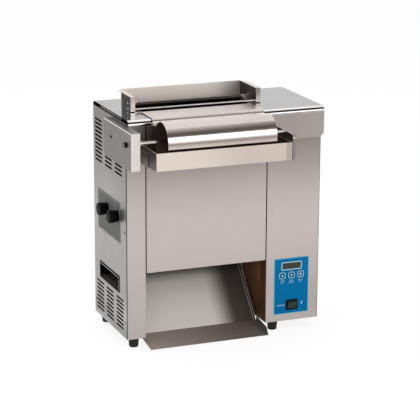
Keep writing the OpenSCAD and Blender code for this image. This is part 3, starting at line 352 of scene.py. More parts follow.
@dataclass(frozen=True)
class Steel(Finish):
    """Stainless sheet with brushed lines: reflections drawn out across the grain, with soft clouding from wiping.

    The real lines are about 0.1 mm apart. They are drawn at line_mm so that they show in the render. Patches are faces
    of another tone, such as a blasted outer face beside polished folds.
    """

    light: str
    dark: str
    grain: Grain
    roughness: float
    line_mm: float = 1.1
    cloud_mm: float = 140.0
    edge_mm: float = 0.9
    bump: float = 0.05
    metallic: float = 1.0
    specular: float = 0.5
    # Length of a brushed line over its width, and its depth in millimetres
    line_run: float = 150.0
    line_depth: float = 0.1
    # Shares of the lines and of the clouds in the unevenness, and how far that moves the roughness
    line_share: float = 0.45
    cloud_share: float = 0.55
    gloss_play: float = 0.12
    patches: tuple[Patch, ...] = ()

    def patched(self, name: str, *patches: Patch) -> "Steel":
        """The same sheet with some faces of another tone."""
        return replace(self, name=name, patches=patches)

    def tone(self, tree: Tree, coord: Socket, colour: Socket) -> Socket:
        """Lay the patches over the colour of the sheet, each over those before it.

        Args:
            tree: Node tree of the material.
            coord: Point in the part's frame.
            colour: Colour of the sheet.

        Returns:
            The colour with its patches.
        """
        for patch in self.patches:
            colour = self.blend(tree, patch.inside(tree, coord), colour, srgb(patch.tone))
        return colour

    def wire(self, tree: Tree, shader: Node, coord: Socket) -> None:
        """Wire the brushed lines, the clouding and the rounded edges into the shader.

        Args:
            tree: Node tree of the material.
            shader: Shader that takes the finish.
            coord: Point in the part's frame.
        """
        fine = 1 / (self.line_mm * MM)
        scale = [fine, fine, fine]
        scale[self.grain.value] = fine / self.line_run
        drawn = add_node(tree, "ShaderNodeMapping", {"Vector": coord, "Scale": scale}).outputs[0]
        line = add_node(tree, "ShaderNodeTexNoise", {"Vector": drawn, "Scale": 1.0, "Detail": 2.0}).outputs[0]
        broad = {"Vector": coord, "Scale": 1 / (self.cloud_mm * MM), "Detail": 3.0}
        cloud = add_node(tree, "ShaderNodeTexNoise", broad).outputs[0]
        uneven = {0: line, 1: self.line_share, 2: self.spread(tree, cloud, 0.0, self.cloud_share)}
        mottle = add_node(tree, "ShaderNodeMath", uneven, operation="MULTIPLY_ADD").outputs[0]
        colour = self.blend(tree, mottle, srgb(self.light), srgb(self.dark))
        edge = add_node(tree, "ShaderNodeBevel", {"Radius": self.edge_mm * MM}, samples=EDGE_SAMPLES).outputs[0]
        relief = {"Height": line, "Strength": self.bump, "Distance": self.line_depth * MM, "Normal": edge}
        smooth, dull = (self.roughness * (1 + way * self.gloss_play) for way in (-1, 1))
        sockets = {
            "Base Color": self.tone(tree, coord, colour),
            "Roughness": self.spread(tree, mottle, smooth, dull),
            "Normal": add_node(tree, "ShaderNodeBump", relief).outputs[0],
            "Metallic": self.metallic,
            "Specular IOR Level": self.specular,
        }
        feed(tree, shader, sockets)


@dataclass(frozen=True)
class RollerSteel(Steel):
    """Turned and polished tube, bright outside and dark inside, where the shade of the hollow is painted.

    The axis is the tube's place in Y and Z, and the skin a radius between its two walls, both in metres.
    """

    # Painted shade of the hollow, on the inner wall
    inside: str = "#5A4C42"
    axis: tuple[float, float] = (0.0, 0.0)
    skin: float = 0.0

    def inner(self, tree: Tree, coord: Socket) -> Socket:
        """Factor of the inner wall, found by its distance from the roller's axis.

        Args:
            tree: Node tree of the material.
            coord: Point in the part's frame.

        Returns:
            One on the inner wall and zero outside.
        """
        middle = (0.0, -self.axis[0], -self.axis[1])
        flat = add_node(tree, "ShaderNodeMapping", {"Vector": coord, "Location": middle}).outputs[0]
        ring = add_node(tree, "ShaderNodeVectorMath", {0: flat, 1: (0.0, 1.0, 1.0)}, operation="MULTIPLY").outputs[0]
        radius = add_node(tree, "ShaderNodeVectorMath", {0: ring}, operation="LENGTH").outputs["Value"]
        return add_node(tree, "ShaderNodeMath", {0: radius, 1: self.skin}, operation="LESS_THAN").outputs[0]

    def tone(self, tree: Tree, coord: Socket, colour: Socket) -> Socket:
        """Painted shade on the inner wall."""
        return self.blend(tree, self.inner(tree, coord), colour, srgb(self.inside))

    def wire(self, tree: Tree, shader: Node, coord: Socket) -> None:
        """Wire the sheet, and keep the painted shade inside from shining like metal.

        Args:
            tree: Node tree of the material.
            shader: Shader that takes the finish.
            coord: Point in the part's frame.
        """
        super().wire(tree, shader, coord)
        bare = add_node(tree, "ShaderNodeMath", {0: 1.0, 1: self.inner(tree, coord)}, operation="SUBTRACT").outputs[0]
        feed(tree, shader, {"Metallic": bare})


@dataclass(frozen=True)
class Moulded(Finish):
    """Moulded, cast, painted or printed surface: an even colour with a fine texture and slightly uneven gloss."""

    light: str
    dark: str
    roughness: float
    grain_mm: float
    metallic: float = 0.0
    bump: float = 0.15
    edge_mm: float = 0.6
    specular: float = 0.5
    # Depth of the texture in millimetres, size of the colour's clouds over the grain's, and play of the roughness
    grain_depth: float = 0.15
    cloud_run: float = 30.0
    gloss_play: float = 0.1

    def wire(self, tree: Tree, shader: Node, coord: Socket) -> None:
        """Wire the texture and the colour's unevenness into the shader.

        Args:
            tree: Node tree of the material.
            shader: Shader that takes the finish.
            coord: Point in the part's frame.
        """
        scale = 1 / (self.grain_mm * MM)
        fine = add_node(tree, "ShaderNodeTexNoise", {"Vector": coord, "Scale": scale, "Detail": 2.0}).outputs[0]
        clouds = {"Vector": coord, "Scale": scale / self.cloud_run, "Detail": 3.0}
        broad = add_node(tree, "ShaderNodeTexNoise", clouds).outputs[0]
        edge = add_node(tree, "ShaderNodeBevel", {"Radius": self.edge_mm * MM}, samples=EDGE_SAMPLES).outputs[0]
        relief = {"Height": fine, "Strength": self.bump, "Distance": self.grain_depth * MM, "Normal": edge}
        smooth, dull = (self.roughness * (1 + way * self.gloss_play) for way in (-1, 1))
        sockets = {
            "Base Color": self.blend(tree, self.spread(tree, broad, 0.0, 1.0), srgb(self.light), srgb(self.dark)),
            "Roughness": self.spread(tree, fine, smooth, dull),
            "Normal": add_node(tree, "ShaderNodeBump", relief).outputs[0],
            "Metallic": self.metallic,
            "Specular IOR Level": self.specular,
        }
        feed(tree, shader, sockets)


def pull(bm: Shape, grown: Iterable[object], way: Sequence[float]) -> None:
    """Move the points of newly extruded geometry."""
    bmesh.ops.translate(bm, vec=way, verts=[v for v in grown if isinstance(v, bmesh.types.BMVert)])


def draw_path(bm: Shape, path: Iterable[Sequence[float]]) -> list[object]:
    """Draw points and join them by edges.

    Args:
        bm: Shape that takes them.
        path: The points in order.

    Returns:
        The points and then the edges.
    """
    points = [bm.verts.new(point) for point in path]
    return points + [bm.edges.new(pair) for pair in zip(points, points[1:])]


def raise_flat(bm: Shape, depth: float) -> Shape:
    """Give a flat outline a thickness along Z.

    Args:
        bm: The outline.
        depth: The thickness.

    Returns:
        The same shape, raised.
    """
    pull(bm, bmesh.ops.extrude_face_region(bm, geom=bm.faces[:])["geom"], (0, 0, depth))
    return bm


def flat_bar(width: float, height: float) -> Shape:
    """Flat bar in XY around the origin.

    Args:
        width: Size along X.
        height: Size along Y.

    Returns:
        The bar, without thickness.
    """
    bm = bmesh.new()
    bmesh.ops.create_grid(bm, x_segments=1, y_segments=1, size=0.5)
    bmesh.ops.scale(bm, vec=(width, height, 1), verts=bm.verts)
    return bm


def flat_shape(sides: int, radius: float, depth: float, turn: float = 0.0) -> Shape:
    """Raised regular shape, such as a triangle or a dot.

    Args:
        sides: Number of its sides.
        radius: Distance of its corners from the origin.
        depth: Height above the surface.
        turn: Turn about Z in degrees.

    Returns:
        The shape, standing on Z = 0.
    """
    bm = bmesh.new()
    bmesh.ops.create_circle(bm, cap_ends=True, segments=sides, radius=radius)
    bmesh.ops.rotate(bm, cent=(0, 0, 0), matrix=Matrix.Rotation(math.radians(turn), 3, "Z"), verts=bm.verts)
    return raise_flat(bm, depth)


def outline_frame(width: float, height: float, corner: float, line: float, depth: float, steps: int = 5) -> Shape:
    """Raised frame with cut or round corners.

    Args:
        width: Outer width.
        height: Outer height.
        corner: Size of the corners.
        line: Width of the line.
        depth: Height above the surface.
        steps: Segments of each corner; one gives a cut corner.

    Returns:
        The frame, flat in XY around the origin.
    """
    bm = flat_bar(width, height)
    bmesh.ops.bevel(
        bm, geom=bm.verts[:], offset=corner, affect="VERTICES", segments=steps, profile=0.5, material=-1
    )
    inner = bm.faces[:]
    bmesh.ops.inset_individual(bm, faces=inner, thickness=line, use_even_offset=True)
    bmesh.ops.delete(bm, geom=inner, context="FACES")
    return raise_flat(bm, depth)


def ribbon(path: Iterable[Vector], across: Sequence[float], thick: float) -> Shape:
    """Thin strip drawn along a path.

    Args:
        path: Points along one edge of the strip.
        across: Direction and width of the strip.
        thick: Its thickness.

    Returns:
        The strip as a closed sheet.
    """
    bm = bmesh.new()
    draw_path(bm, path)
    pull(bm, bmesh.ops.extrude_edge_only(bm, edges=bm.edges[:])["geom"], across)
    bmesh.ops.recalc_face_normals(bm, faces=bm.faces)
    bmesh.ops.solidify(bm, geom=bm.faces[:], thickness=thick)
    return bm


def block(size: Sequence[float], edge: float = 0.0) -> Shape:
    """Block around the origin with rounded edges.

    Args:
        size: Its three sizes.
        edge: Size of the rounding; none where it is zero.

    Returns:
        The block.
    """
    bm = bmesh.new()
    bmesh.ops.create_cube(bm, size=1.0)
    bmesh.ops.scale(bm, vec=size, verts=bm.verts)
    if edge > 0:
        bmesh.ops.bevel(bm, geom=bm.edges[:], offset=edge, affect="EDGES", segments=2, profile=0.5, material=-1)
    return bm


def turned(profile: Iterable[tuple[float, float]], steps: int) -> Shape:
    """Shape turned about Z.

    Args:
        profile: Radius and height of each point along the section.
        steps: Segments round the axis.

    Returns:
        The turned shape with its poles closed.
    """
    bm = bmesh.new()
    drawn = draw_path(bm, [(r, 0, z) for r, z in profile])
    bmesh.ops.spin(bm, geom=drawn, cent=(0, 0, 0), axis=(0, 0, 1), angle=math.tau, steps=steps, use_merge=True)
    bmesh.ops.remove_doubles(bm, verts=bm.verts, dist=MERGE)
    bmesh.ops.recalc_face_normals(bm, faces=bm.faces)
    return bm


def lettering(words: str, height: float, depth: float) -> Shape:
    """Printed words as a raised shape, flat in XY around the origin.

    Args:
        words: The words.
        height: Size of the letters.
        depth: Height above the surface.

    Returns:
        The words, standing on Z = 0.
    """
    curve = bpy.data.curves.new("words", "FONT")
    curve.body, curve.size, curve.extrude, curve.resolution_u = words, height, depth / 2, 3
    curve.align_x, curve.align_y = "CENTER", "CENTER"
    holder = new_object("words", curve)
    bm = evaluated(holder)
    bpy.data.objects.remove(holder)
    bpy.data.curves.remove(curve)
    bmesh.ops.remove_doubles(bm, verts=bm.verts, dist=MERGE)
    bmesh.ops.translate(bm, vec=(0, 0, depth / 2), verts=bm.verts)
    return bm


def gather(parts: Iterable[Placed]) -> Shape:
    """Join shapes, each moved to its place.

    Args:
        parts: Shapes and their placements; the shapes are freed.

    Returns:
        One shape with all of them.
    """
    whole = bmesh.new()
    for bm, place in parts:
        bmesh.ops.transform(bm, matrix=place, verts=bm.verts)
        mesh = to_mesh("part", bm)
        whole.from_mesh(mesh)
        bpy.data.meshes.remove(mesh)
    return whole


def carve(bm: Shape, cutter: Shape) -> Shape:
    """Cut one closed shape out of another.

    Args:
        bm: Shape that is cut; freed here.
        cutter: Shape that is taken away; freed here.

    Returns:
        What is left, as a new shape.
    """
    holders = []
    for shape in (bm, cutter):
        bmesh.ops.recalc_face_normals(shape, faces=shape.faces)
        holders.append(new_object("carve", to_mesh("carve", shape)))
    cut = holders[0].modifiers.new("cut", "BOOLEAN")
    cut.object, cut.operation, cut.solver, cut.use_self = holders[1], "DIFFERENCE", "EXACT", True
    result = evaluated(holders[0])
    for holder in holders:
        bpy.data.objects.remove(holder)
    return result


def screw_head(radius: float, height: float) -> Shape:
    """Pan head with a cross recess, standing on Z = 0.

    Args:
        radius: Radius of the head.
        height: Height of the head.

    Returns:
        The head, cut by its recess.
    """
    # Section of the head, and the length, width and middle of the recess's arms, in shares of the head's sizes
    dome = ((0, 1.0), (0.5, 0.95), (0.82, 0.7), (0.97, 0.3), (1.0, 0.0))
    arm_len, arm_w, arm_rise = 1.15, 0.26, 0.95
    head = turned([(r * radius, z * height) for r, z in dome], HEAD_STEPS)
    bmesh.ops.contextual_create(head, geom=[e for e in head.edges if e.is_boundary])
    arm = (arm_len * radius, arm_w * radius, height)
    sink = Matrix.Translation((0, 0, arm_rise * height))
    cross = gather([(block(arm), sink), (block(arm), sink @ Matrix.Rotation(math.pi / 2, 4, "Z"))])
    return carve(head, cross)


@dataclass
class Workshop:
    """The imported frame's nodes, the materials made so far and the making of pieces."""

    nodes: dict[str, bpy.types.Object]
    materials: dict[str, bpy.types.Material] = field(default_factory=dict)
    # Angle in degrees above which an edge of a piece stays sharp
    sharp: float = 35.0

    def material(self, finish: Finish) -> bpy.types.Material:
        """Find the material of a finish, and make it at its first use.

        Args:
            finish: The finish.

        Returns:
            Its material.
        """
        if finish.name not in self.materials:
            self.materials[finish.name] = finish.material()
        return self.materials[finish.name]

    def dress(self, finish: Finish, *names: str) -> None:
        """Give a finish to CAD nodes.

        Args:
            finish: The finish.
            names: Names of the nodes.
        """
        for name in names:
            slots = self.nodes[name].data.materials
            slots.clear()
            slots.append(self.material(finish))

    def piece(self, name: str, parts: Iterable[Placed], finish: Finish, body: str, slot: str) -> None:
        """Turn shapes into one finished piece that rides on a body.

        Args:
            name: Name of the piece.
            parts: Its shapes and their places in the part's frame; the shapes are freed.
            finish: Its surface.
            body: CAD body that carries it.
            slot: Material slot of the record; not used.
        """
        bm = gather(parts)
        bmesh.ops.recalc_face_normals(bm, faces=bm.faces)
        mesh = to_mesh(name, bm)
        mesh.shade_smooth()
        mesh.set_sharp_from_angle(angle=math.radians(self.sharp))
        mesh.materials.append(self.material(finish))
        made = new_object(name, mesh)
        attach(made, body)
        LOG.info("piece %s: %d faces on %s", name, len(mesh.polygons), body)


# Brushed stainless fronts: satin grey with a warm cast, lines that run up the panels
FRONT_STEEL = Steel("brushed_stainless_front", "#DCD4D2", "#CFC7C5", Grain.UPRIGHT, 0.38)
# Brushed stainless sides and back: the same satin without the warm cast
SIDE_STEEL = Steel("brushed_stainless_side", "#CFCFCF", "#C3C3C3", Grain.UPRIGHT, 0.36)
# Brushed stainless apron: a darker satin, with lines across it
APRON_STEEL = Steel("brushed_stainless_apron", "#BEB8B5", "#B2ACA9", Grain.LEVEL, 0.36)
# Polished stainless cover: clear reflections with a faint haze
COVER_STEEL = Steel("polished_stainless_cover", "#A19F9F", "#979595", Grain.LEVEL, 0.1, bump=0.02)
# Polished landing plate: bright, with reflections that wear has blurred
LANDING_STEEL = Steel("polished_stainless_landing", "#DED4D0", "#D2C8C4", Grain.LEVEL, 0.3, bump=0.03)
# Back wall of the feeder: rubbed until it is pale, with hardly a reflection
FEEDER_STEEL = Steel("polished_stainless_feeder", "#FBF0E6", "#F0E5DB", Grain.LEVEL, 0.45, bump=0.02, metallic=0.4)
# End walls of the feeder: bright edges and blurred reflections
WALL_STEEL = Steel("polished_stainless_end_wall", "#DCD5D0", "#D0C9C4", Grain.UPRIGHT, 0.28)
# Folds of the drive box: bright, with wide soft edges
BOX_STEEL = Steel("bright_stainless_fold", "#ECE6E2", "#E2DCD8", Grain.UPRIGHT, 0.4, edge_mm=1.6, metallic=0.4)
# Divider bar: dark from the heat of the platen under it
HEATED_BAR = Steel("heat_stained_bar", "#4A4643", "#3A3633", Grain.LEVEL, 0.34, line_mm=0.7)
# Drawn bright bar: smooth, with lines along its length
BAR_STEEL = Steel("drawn_bright_bar", "#CFC9C5", "#BDB7B3", Grain.LEVEL, 0.18, line_mm=0.7)
# Turned and polished roller: a near mirror that shows bands of light and dark along its length
ROLLER_STEEL = RollerSteel("turned_polished_roller", "#E6DBD7", "#CCC2BD", Grain.LEVEL, 0.12, line_mm=0.9, bump=0.07)
# Butter tray: pressed sheet, bright and slightly warm from the light that it catches
TRAY_STEEL = Steel("pressed_stainless_tray", "#F7EBE1", "#EADED4", Grain.LEVEL, 0.4, cloud_mm=220, metallic=0.75)
# Folded brackets: plain satin, greyer than the panels
BRACKET_STEEL = Steel("folded_stainless_bracket", "#A8A2A0", "#9C9693", Grain.UPRIGHT, 0.34)
# Fine-blasted food-side sheet of the chute: pale and soft, without clear reflections
CHUTE_STEEL = Steel("blasted_stainless_floor", "#F6F0E9", "#E9E3DC", Grain.DEEP, 0.5, metallic=0.15, specular=0.15)
# Painted highlights along the chute's walls: thin bright strips
GLINT_STRIP_STEEL = Steel("painted_chute_glint", "#FBF6F0", "#EFEAE4", Grain.DEEP, 0.4, line_mm=0.7, edge_mm=0.1, metallic=0.1)
# Plain mill sheet inside: duller and darker, never polished
INNER_STEEL = Steel("mill_stainless_inner", "#7A716A", "#665D57", Grain.UPRIGHT, 0.5, cloud_mm=60)
# Oiled steel of the chain, the cam spindles and the heaters: dark with a greasy gloss
CHAIN_STEEL = Steel("oiled_chain_steel", "#5C5B5A", "#454443", Grain.LEVEL, 0.4, line_mm=0.8)
# Zinc-plated screw heads: mid grey, a little blue
SCREW_STEEL = Steel("zinc_plated_screw", "#8E8F90", "#747576", Grain.UPRIGHT, 0.3, line_mm=0.6, edge_mm=0.2)
# Domed rivets: small bright points
RIVET_STEEL = Steel("domed_steel_rivet", "#E2DEDB", "#D2CECB", Grain.UPRIGHT, 0.25, line_mm=0.6, edge_mm=0.2)
# Ground aluminium platen: pale and matt from heat
PLATEN = Moulded("ground_aluminium_platen", "#A9A7A4", "#8F8C88", 0.5, 0.8, metallic=1.0)
# Glass-filled nylon of knobs, cups and switch: black with a fine spark texture
BLACK_PLASTIC = Moulded("spark_textured_nylon", "#070707", "#0B0B0B", 0.42, 0.7, specular=0.06)
# Acetal bushes: dense, smooth and dark
BUSH_PLASTIC = Moulded("turned_acetal_bush", "#131313", "#1A1A1A", 0.35, 0.9, specular=0.2)
# Rubber feet: soft black without shine
RUBBER = Moulded("moulded_rubber_foot", "#0F0F0F", "#161615", 0.6, 1.2, bump=0.3, specular=0.3)
# Silicone-coated belt cloth: matt dark grey with the grain of its weave
BELT = Moulded("coated_belt_cloth", "#3A3A3B", "#2E2E2F", 0.6, 1.4, bump=0.35)
# Powder-coated steel plate behind the knobs: flat mid grey
PLATE_GREY = Moulded("grey_powder_coat", "#6C6E6D", "#626463", 0.5, 0.9, specular=0.25)
# Inks of the plate's border: a light line between two dark ones
PLATE_DARK = Moulded("dark_grey_ink", "#2E302F", "#353736", 0.5, 1.0, specular=0.2)
PLATE_LIGHT = Moulded("light_grey_ink", "#BFC1BF", "#B4B6B4", 0.5, 1.0, specular=0.3)
# Painted shadow in the joint between side panel and column: a thin dark brown line
SEAM = Moulded("painted_joint_shadow", "#2C2522", "#352D29", 0.6, 1.0, specular=0.2)
# Screen-printed polyester overlay: velvet-textured film in a deep blue
FILM = Moulded("blue_polyester_film", "#0073AC", "#006DA4", 0.46, 0.6, bump=0.08, specular=0.04)
# Embossed keys: the same film, a darker blue
KEY_FILM = Moulded("embossed_key_film", "#00628C", "#005C84", 0.42, 0.6, bump=0.08, specular=0.04)
# Inks on the overlay: a light blue edge, and white legends with a blue cast
EDGE_INK = Moulded("light_blue_ink", "#63BFDD", "#5AB5D3", 0.5, 0.8, bump=0.05, specular=0.2)
WHITE_INK = Moulded("white_screen_ink", "#C2E9F3", "#B8E0EC", 0.5, 0.8, bump=0.05)
# Tinted acrylic display lens: dark with a green cast and a clear gloss
LENS = Moulded("tinted_acrylic_lens", "#363E3A", "#303834", 0.2, 1.5, bump=0.02, specular=0.3)
# Rocker of tinted polycarbonate: dark, with a trace of green from its lamp
ROCKER = Moulded("tinted_polycarbonate_rocker", "#1F2A1E", "#1A2419", 0.28, 0.9, bump=0.05, specular=0.3)
# Marks on the rocker: a faint paler green
ROCKER_MARK = Moulded("moulded_rocker_mark", "#4E5A4C", "#445042", 0.4, 0.9, bump=0.05, specular=0.1)
# Inside of the handle cup: dull grey
CUP_LINER = Moulded("grey_nylon_liner", "#504D4B", "#423F3E", 0.38, 2.0)
# Painted highlight on the cup's bezel: a thin light line inside the black
CUP_RIM = Moulded("painted_rim_highlight", "#CBC9C7", "#BDBBB9", 0.4, 1.0, specular=0.3)
# Satin strip on the cover's flanges: even grey, with none of the cover's mirror
SKIRT = Moulded("satin_flange_strip", "#8E8C8D", "#848283", 0.5, 0.9, specular=0.3)
# Black strips in the joints between sheets that meet: painted shadow lines
SHADOW_STRIP = Moulded("painted_shadow_strip", "#0C0B0B", "#121110", 0.8, 1.5, bump=0.3, specular=0.05)
# Hobbed brass gears: warm yellow metal
BRASS = Moulded("hobbed_brass_gear", "#B79A63", "#A38650", 0.32, 0.8, metallic=1.0)
# Hammered paint of the motor: dark blue-grey with a pebbled gloss
MOTOR_PAINT = Moulded("hammered_motor_paint", "#3F4347", "#34383C", 0.42, 1.6, bump=0.4)
# Solder mask of the control board: deep green with some gloss
BOARD = Moulded("solder_masked_board", "#1D5A38", "#184D30", 0.35, 0.9)


@dataclass(frozen=True)
class Lamp:
    """Rectangular soft lamp, with its place and size in metres and its power in watts."""

    name: str
    place: tuple[float, float, float]
    size: tuple[float, float]
    power: float
    # Whether bright metal shows it
    mirrored: bool = True

    def build(self, target: Sequence[float]) -> None:
        """Hang the lamp.

        Args:
            target: Point that it looks at.
        """
        light = bpy.data.lights.new(self.name, "AREA")
        light.shape, light.energy = "RECTANGLE", self.power
        light.size, light.size_y = self.size
        made = new_object(self.name, light)
        aim = (Vector(target) - Vector(self.place)).to_track_quat("-Z", "Y")
        made.matrix_world = Matrix.Translation(self.place) @ aim.to_matrix().to_4x4()
        made.visible_camera = False
        made.visible_glossy = self.mirrored


@dataclass
class Studio:
    """Pale floor, soft light and the cards that the bright metal mirrors. Sizes are in metres."""

    middle: tuple[float, float, float] = (0.0, -0.05, 0.6)
    lamps: tuple[Lamp, ...] = (
        Lamp("front_softbox", (1.35, -3.1, 1.62), (4.2, 1.45), 30.0),
        Lamp("overhead_softbox", (-0.6, 0.4, 3.6), (3.0, 3.0), 48.0, mirrored=False),
    )
    # Strength of the white dome as a light, and as it is seen
    dome_light: float = 0.62
    dome_seen: float = 1.0
    floor_size: float = 60.0
    # Strength of the floor's own white as it is seen, and its share beside the shadow
    floor_white: float = 1.05
    floor_share: float = 0.84
    # How far the floor and its ring lie below the feet
    floor_drop: float = 0.0003
    apron_drop: float = 0.0001
    card_radius: float = 3.2
    # Width of the card in degrees, and its segments upwards and round
    card_sweep: float = 150.0
    card_steps: tuple[int, int] = (8, 30)
    # Tones of the card by their angle above the horizon, in degrees
    card_tones: tuple[tuple[float, str], ...] = (
        (29.0, "#A6A19E"), (37.0, "#686461"), (46.0, "#66625F"), (55.0, "#8E8885"), (65.0, "#C6C1BE"),
        (76.0, "#F8F5F3"),
    )
    # Tones of the floor's ring by their distance from a point behind the object
    apron_tones: tuple[tuple[float, str], ...] = (
        (0.7, "#D0CDCB"), (1.1, "#E4E1DF"), (1.7, "#EFECEA"), (2.5, "#D2CCC9"), (3.4, "#B6AFAA"),
    )
    apron_back: float = 0.5
    apron_size: tuple[float, float] = (0.42, 14.0)
    apron_steps: int = 64

    def build(self) -> None:
        """Make the world, the floor, the lamps and the cards."""
        self.world()
        self.floor()
        for lamp in self.lamps:
            lamp.build(self.middle)
        self.card()
        self.apron()

    @staticmethod
    def background(tree: Tree) -> Socket:
        """Find the rays that show the background.

        Args:
            tree: Node tree of the world or the floor.

        Returns:
            One for camera, glossy and transmission rays, and zero for others.
        """
        path = add_node(tree, "ShaderNodeLightPath")
        seen = [path.outputs[name] for name in ("Is Camera Ray", "Is Glossy Ray", "Is Transmission Ray")]
        first = add_node(tree, "ShaderNodeMath", {0: seen[0], 1: seen[1]}, operation="MAXIMUM").outputs[0]
        return add_node(tree, "ShaderNodeMath", {0: first, 1: seen[2]}, operation="MAXIMUM").outputs[0]

    @staticmethod
    def stage_object(name: str, bm: Shape) -> bpy.types.Object:
        """Make an object for the studio and link it to the scene.

        Args:
            name: Name of the object.
            bm: Its shape; freed here.

        Returns:
            The object.
        """
        made = new_object(name, to_mesh(name, bm))
        return made

    def world(self) -> None:
        """Even dome: white to look at, softer as a light."""
        world = bpy.data.worlds.new("studio_dome")
        bpy.context.scene.world = world
        tree = bare_tree(world)
        light, seen = (
            add_node(tree, "ShaderNodeBackground", {"Color": srgb("#FFFFFF"), "Strength": strength}).outputs[0]
            for strength in (self.dome_light, self.dome_seen)
        )
        mix = add_node(tree, "ShaderNodeMixShader", {0: self.background(tree), 1: light, 2: seen})
        add_node(tree, "ShaderNodeOutputWorld", {"Surface": mix.outputs[0]})

    def floor(self) -> None:
        """White floor that keeps the object's shadow."""
        bm = flat_bar(self.floor_size, self.floor_size)
        bmesh.ops.translate(bm, vec=(0, 0, -self.floor_drop), verts=bm.verts)
        material = bpy.data.materials.new("white_sweep")
        self.stage_object("studio_floor", bm).data.materials.append(material)
        tree = bare_tree(material)
        matt = add_node(tree, "ShaderNodeBsdfDiffuse", {"Color": srgb("#FAFAFA")}).outputs[0]
        glow = {"Color": srgb("#FFFFFF"), "Strength": self.floor_white}
        white = add_node(tree, "ShaderNodeEmission", glow).outputs[0]
        share = {0: self.background(tree), 1: self.floor_share}
        factor = add_node(tree, "ShaderNodeMath", share, operation="MULTIPLY").outputs[0]
        mix = add_node(tree, "ShaderNodeMixShader", {0: factor, 1: matt, 2: white})
        add_node(tree, "ShaderNodeOutputMaterial", {"Surface": mix.outputs[0]})

    def card(self) -> None:
        """Curved card in front and above, dark towards its lower edge, seen only in reflections."""
        angles = [math.radians(angle) for angle, _ in self.card_tones]
        upwards, around = self.card_steps
        arc = [angles[0] + (angles[-1] - angles[0]) * i / upwards for i in range(upwards + 1)]
        bm = bmesh.new()
        drawn = draw_path(bm, [(0, -self.card_radius * math.cos(a), self.card_radius * math.sin(a)) for a in arc])
        sweep = math.radians(self.card_sweep)
        bmesh.ops.rotate(bm, cent=(0, 0, 0), matrix=Matrix.Rotation(-sweep / 2, 3, "Z"), verts=bm.verts)
        bmesh.ops.spin(bm, geom=drawn, cent=(0, 0, 0), axis=(0, 0, 1), angle=sweep, steps=around)
        bmesh.ops.translate(bm, vec=self.middle, verts=bm.verts)
        tree, coord = self.glow("dark_card", bm, "shaded_card")
        height = add_node(tree, "ShaderNodeSeparateXYZ", {0: coord}).outputs[2]
        heights = [self.middle[2] + self.card_radius * math.sin(a) for a in angles]
        self.shade(tree, height, [(rise, tone) for rise, (_, tone) in zip(heights, self.card_tones)])

    def apron(self) -> None:
        """Ring on the floor round the object, darker further out, seen only in reflections."""
        bm = turned([(reach, 0) for reach in self.apron_size], self.apron_steps)
        bmesh.ops.translate(bm, vec=(0, 0, -self.apron_drop), verts=bm.verts)
        tree, coord = self.glow("floor_apron", bm, "shaded_apron")
        moved = add_node(tree, "ShaderNodeMapping", {"Vector": coord, "Location": (0, -self.apron_back, 0)}).outputs[0]
        reach = add_node(tree, "ShaderNodeVectorMath", {0: moved}, operation="LENGTH").outputs["Value"]
        self.shade(tree, reach, self.apron_tones)

    def glow(self, name: str, bm: Shape, material_name: str) -> tuple[Tree, Socket]:
        """Make a studio object that only glows, and shows in reflections and nowhere else.

        Args:
            name: Name of the object.
            bm: Its shape; freed here.
            material_name: Name of its material.

        Returns:
            The material's tree, whose emission node is named glow, and the point in the object's frame.
        """
        made = self.stage_object(name, bm)
        made.visible_camera = made.visible_diffuse = made.visible_shadow = False
        made.visible_transmission = made.visible_volume_scatter = False
        material = bpy.data.materials.new(material_name)
        made.data.materials.append(material)
        tree = bare_tree(material)
        emission = add_node(tree, "ShaderNodeEmission", name="glow")
        add_node(tree, "ShaderNodeOutputMaterial", {"Surface": emission.outputs[0]})
        return tree, add_node(tree, "ShaderNodeTexCoord").outputs["Object"]

    @staticmethod
    def shade(tree: Tree, value: Socket, stops: Sequence[tuple[float, str]]) -> None:
        """Colour a glow by a value, through given tones.

        Args:
            tree: Node tree of the glow.
            value: Value that the tones follow.
            stops: Values and their tones, in rising order.
        """
        first, last = stops[0][0], stops[-1][0]
        rise = add_node(tree, "ShaderNodeMapRange", {"Value": value, "From Min": first, "From Max": last}).outputs[0]
        ramp = add_node(tree, "ShaderNodeValToRGB", {0: rise})
        marks = ramp.color_ramp.elements
        for index, (place, tone) in enumerate(stops):
            share = (place - first) / (last - first)
            mark = marks[index] if index < 2 else marks.new(share)
            mark.position, mark.color = share, srgb(tone)
        feed(tree, tree.nodes["glow"], {"Color": ramp.outputs[0]})


@dataclass
class PhotoCamera:
    """Camera fitted to the photograph, with its place in millimetres from the cabinet and its angles in degrees."""

    place: tuple[float, float, float] = (-1835.0, -4466.0, 1653.6)
    yaw: float = 21.844
    pitch: float = 15.158
    roll: float = 0.297
    focal_px: float = 1800.8
    frame_px: float = 420.0
    sensor_mm: float = 36.0
    far: float = 200.0

    def build(self) -> None:
        """Make the camera and put it to use."""
        yaw, pitch, roll = (math.radians(a) for a in (self.yaw, self.pitch, self.roll))
        ahead = Vector((math.sin(yaw) * math.cos(pitch), math.cos(yaw) * math.cos(pitch), -math.sin(pitch)))
        right = Vector((math.cos(yaw), -math.sin(yaw), 0))
        up = right.cross(ahead)
        turned_right = math.cos(roll) * right + math.sin(roll) * up
        turned_up = math.cos(roll) * up - math.sin(roll) * right
        data = bpy.data.cameras.new("photo_camera")
        data.sensor_width = self.sensor_mm
        data.lens = self.focal_px * self.sensor_mm / self.frame_px
        data.clip_end = self.far
        camera = new_object("photo_camera", data)
        turn = Matrix((turned_right, turned_up, -ahead)).transposed().to_4x4()
        camera.matrix_world = Matrix.Translation(cabinet_point(*self.place)) @ turn
        bpy.context.scene.camera = camera


@dataclass
class Assembly:
    """A sub-assembly: the finishes of its CAD nodes, and the small pieces added to them. Sizes are in millimetres."""

    shop: Workshop

    def dress(self) -> None:
        """Give the CAD nodes their finishes."""
        raise NotImplementedError

    def build(self) -> None:
        """Add the small pieces; none where the CAD nodes carry everything."""


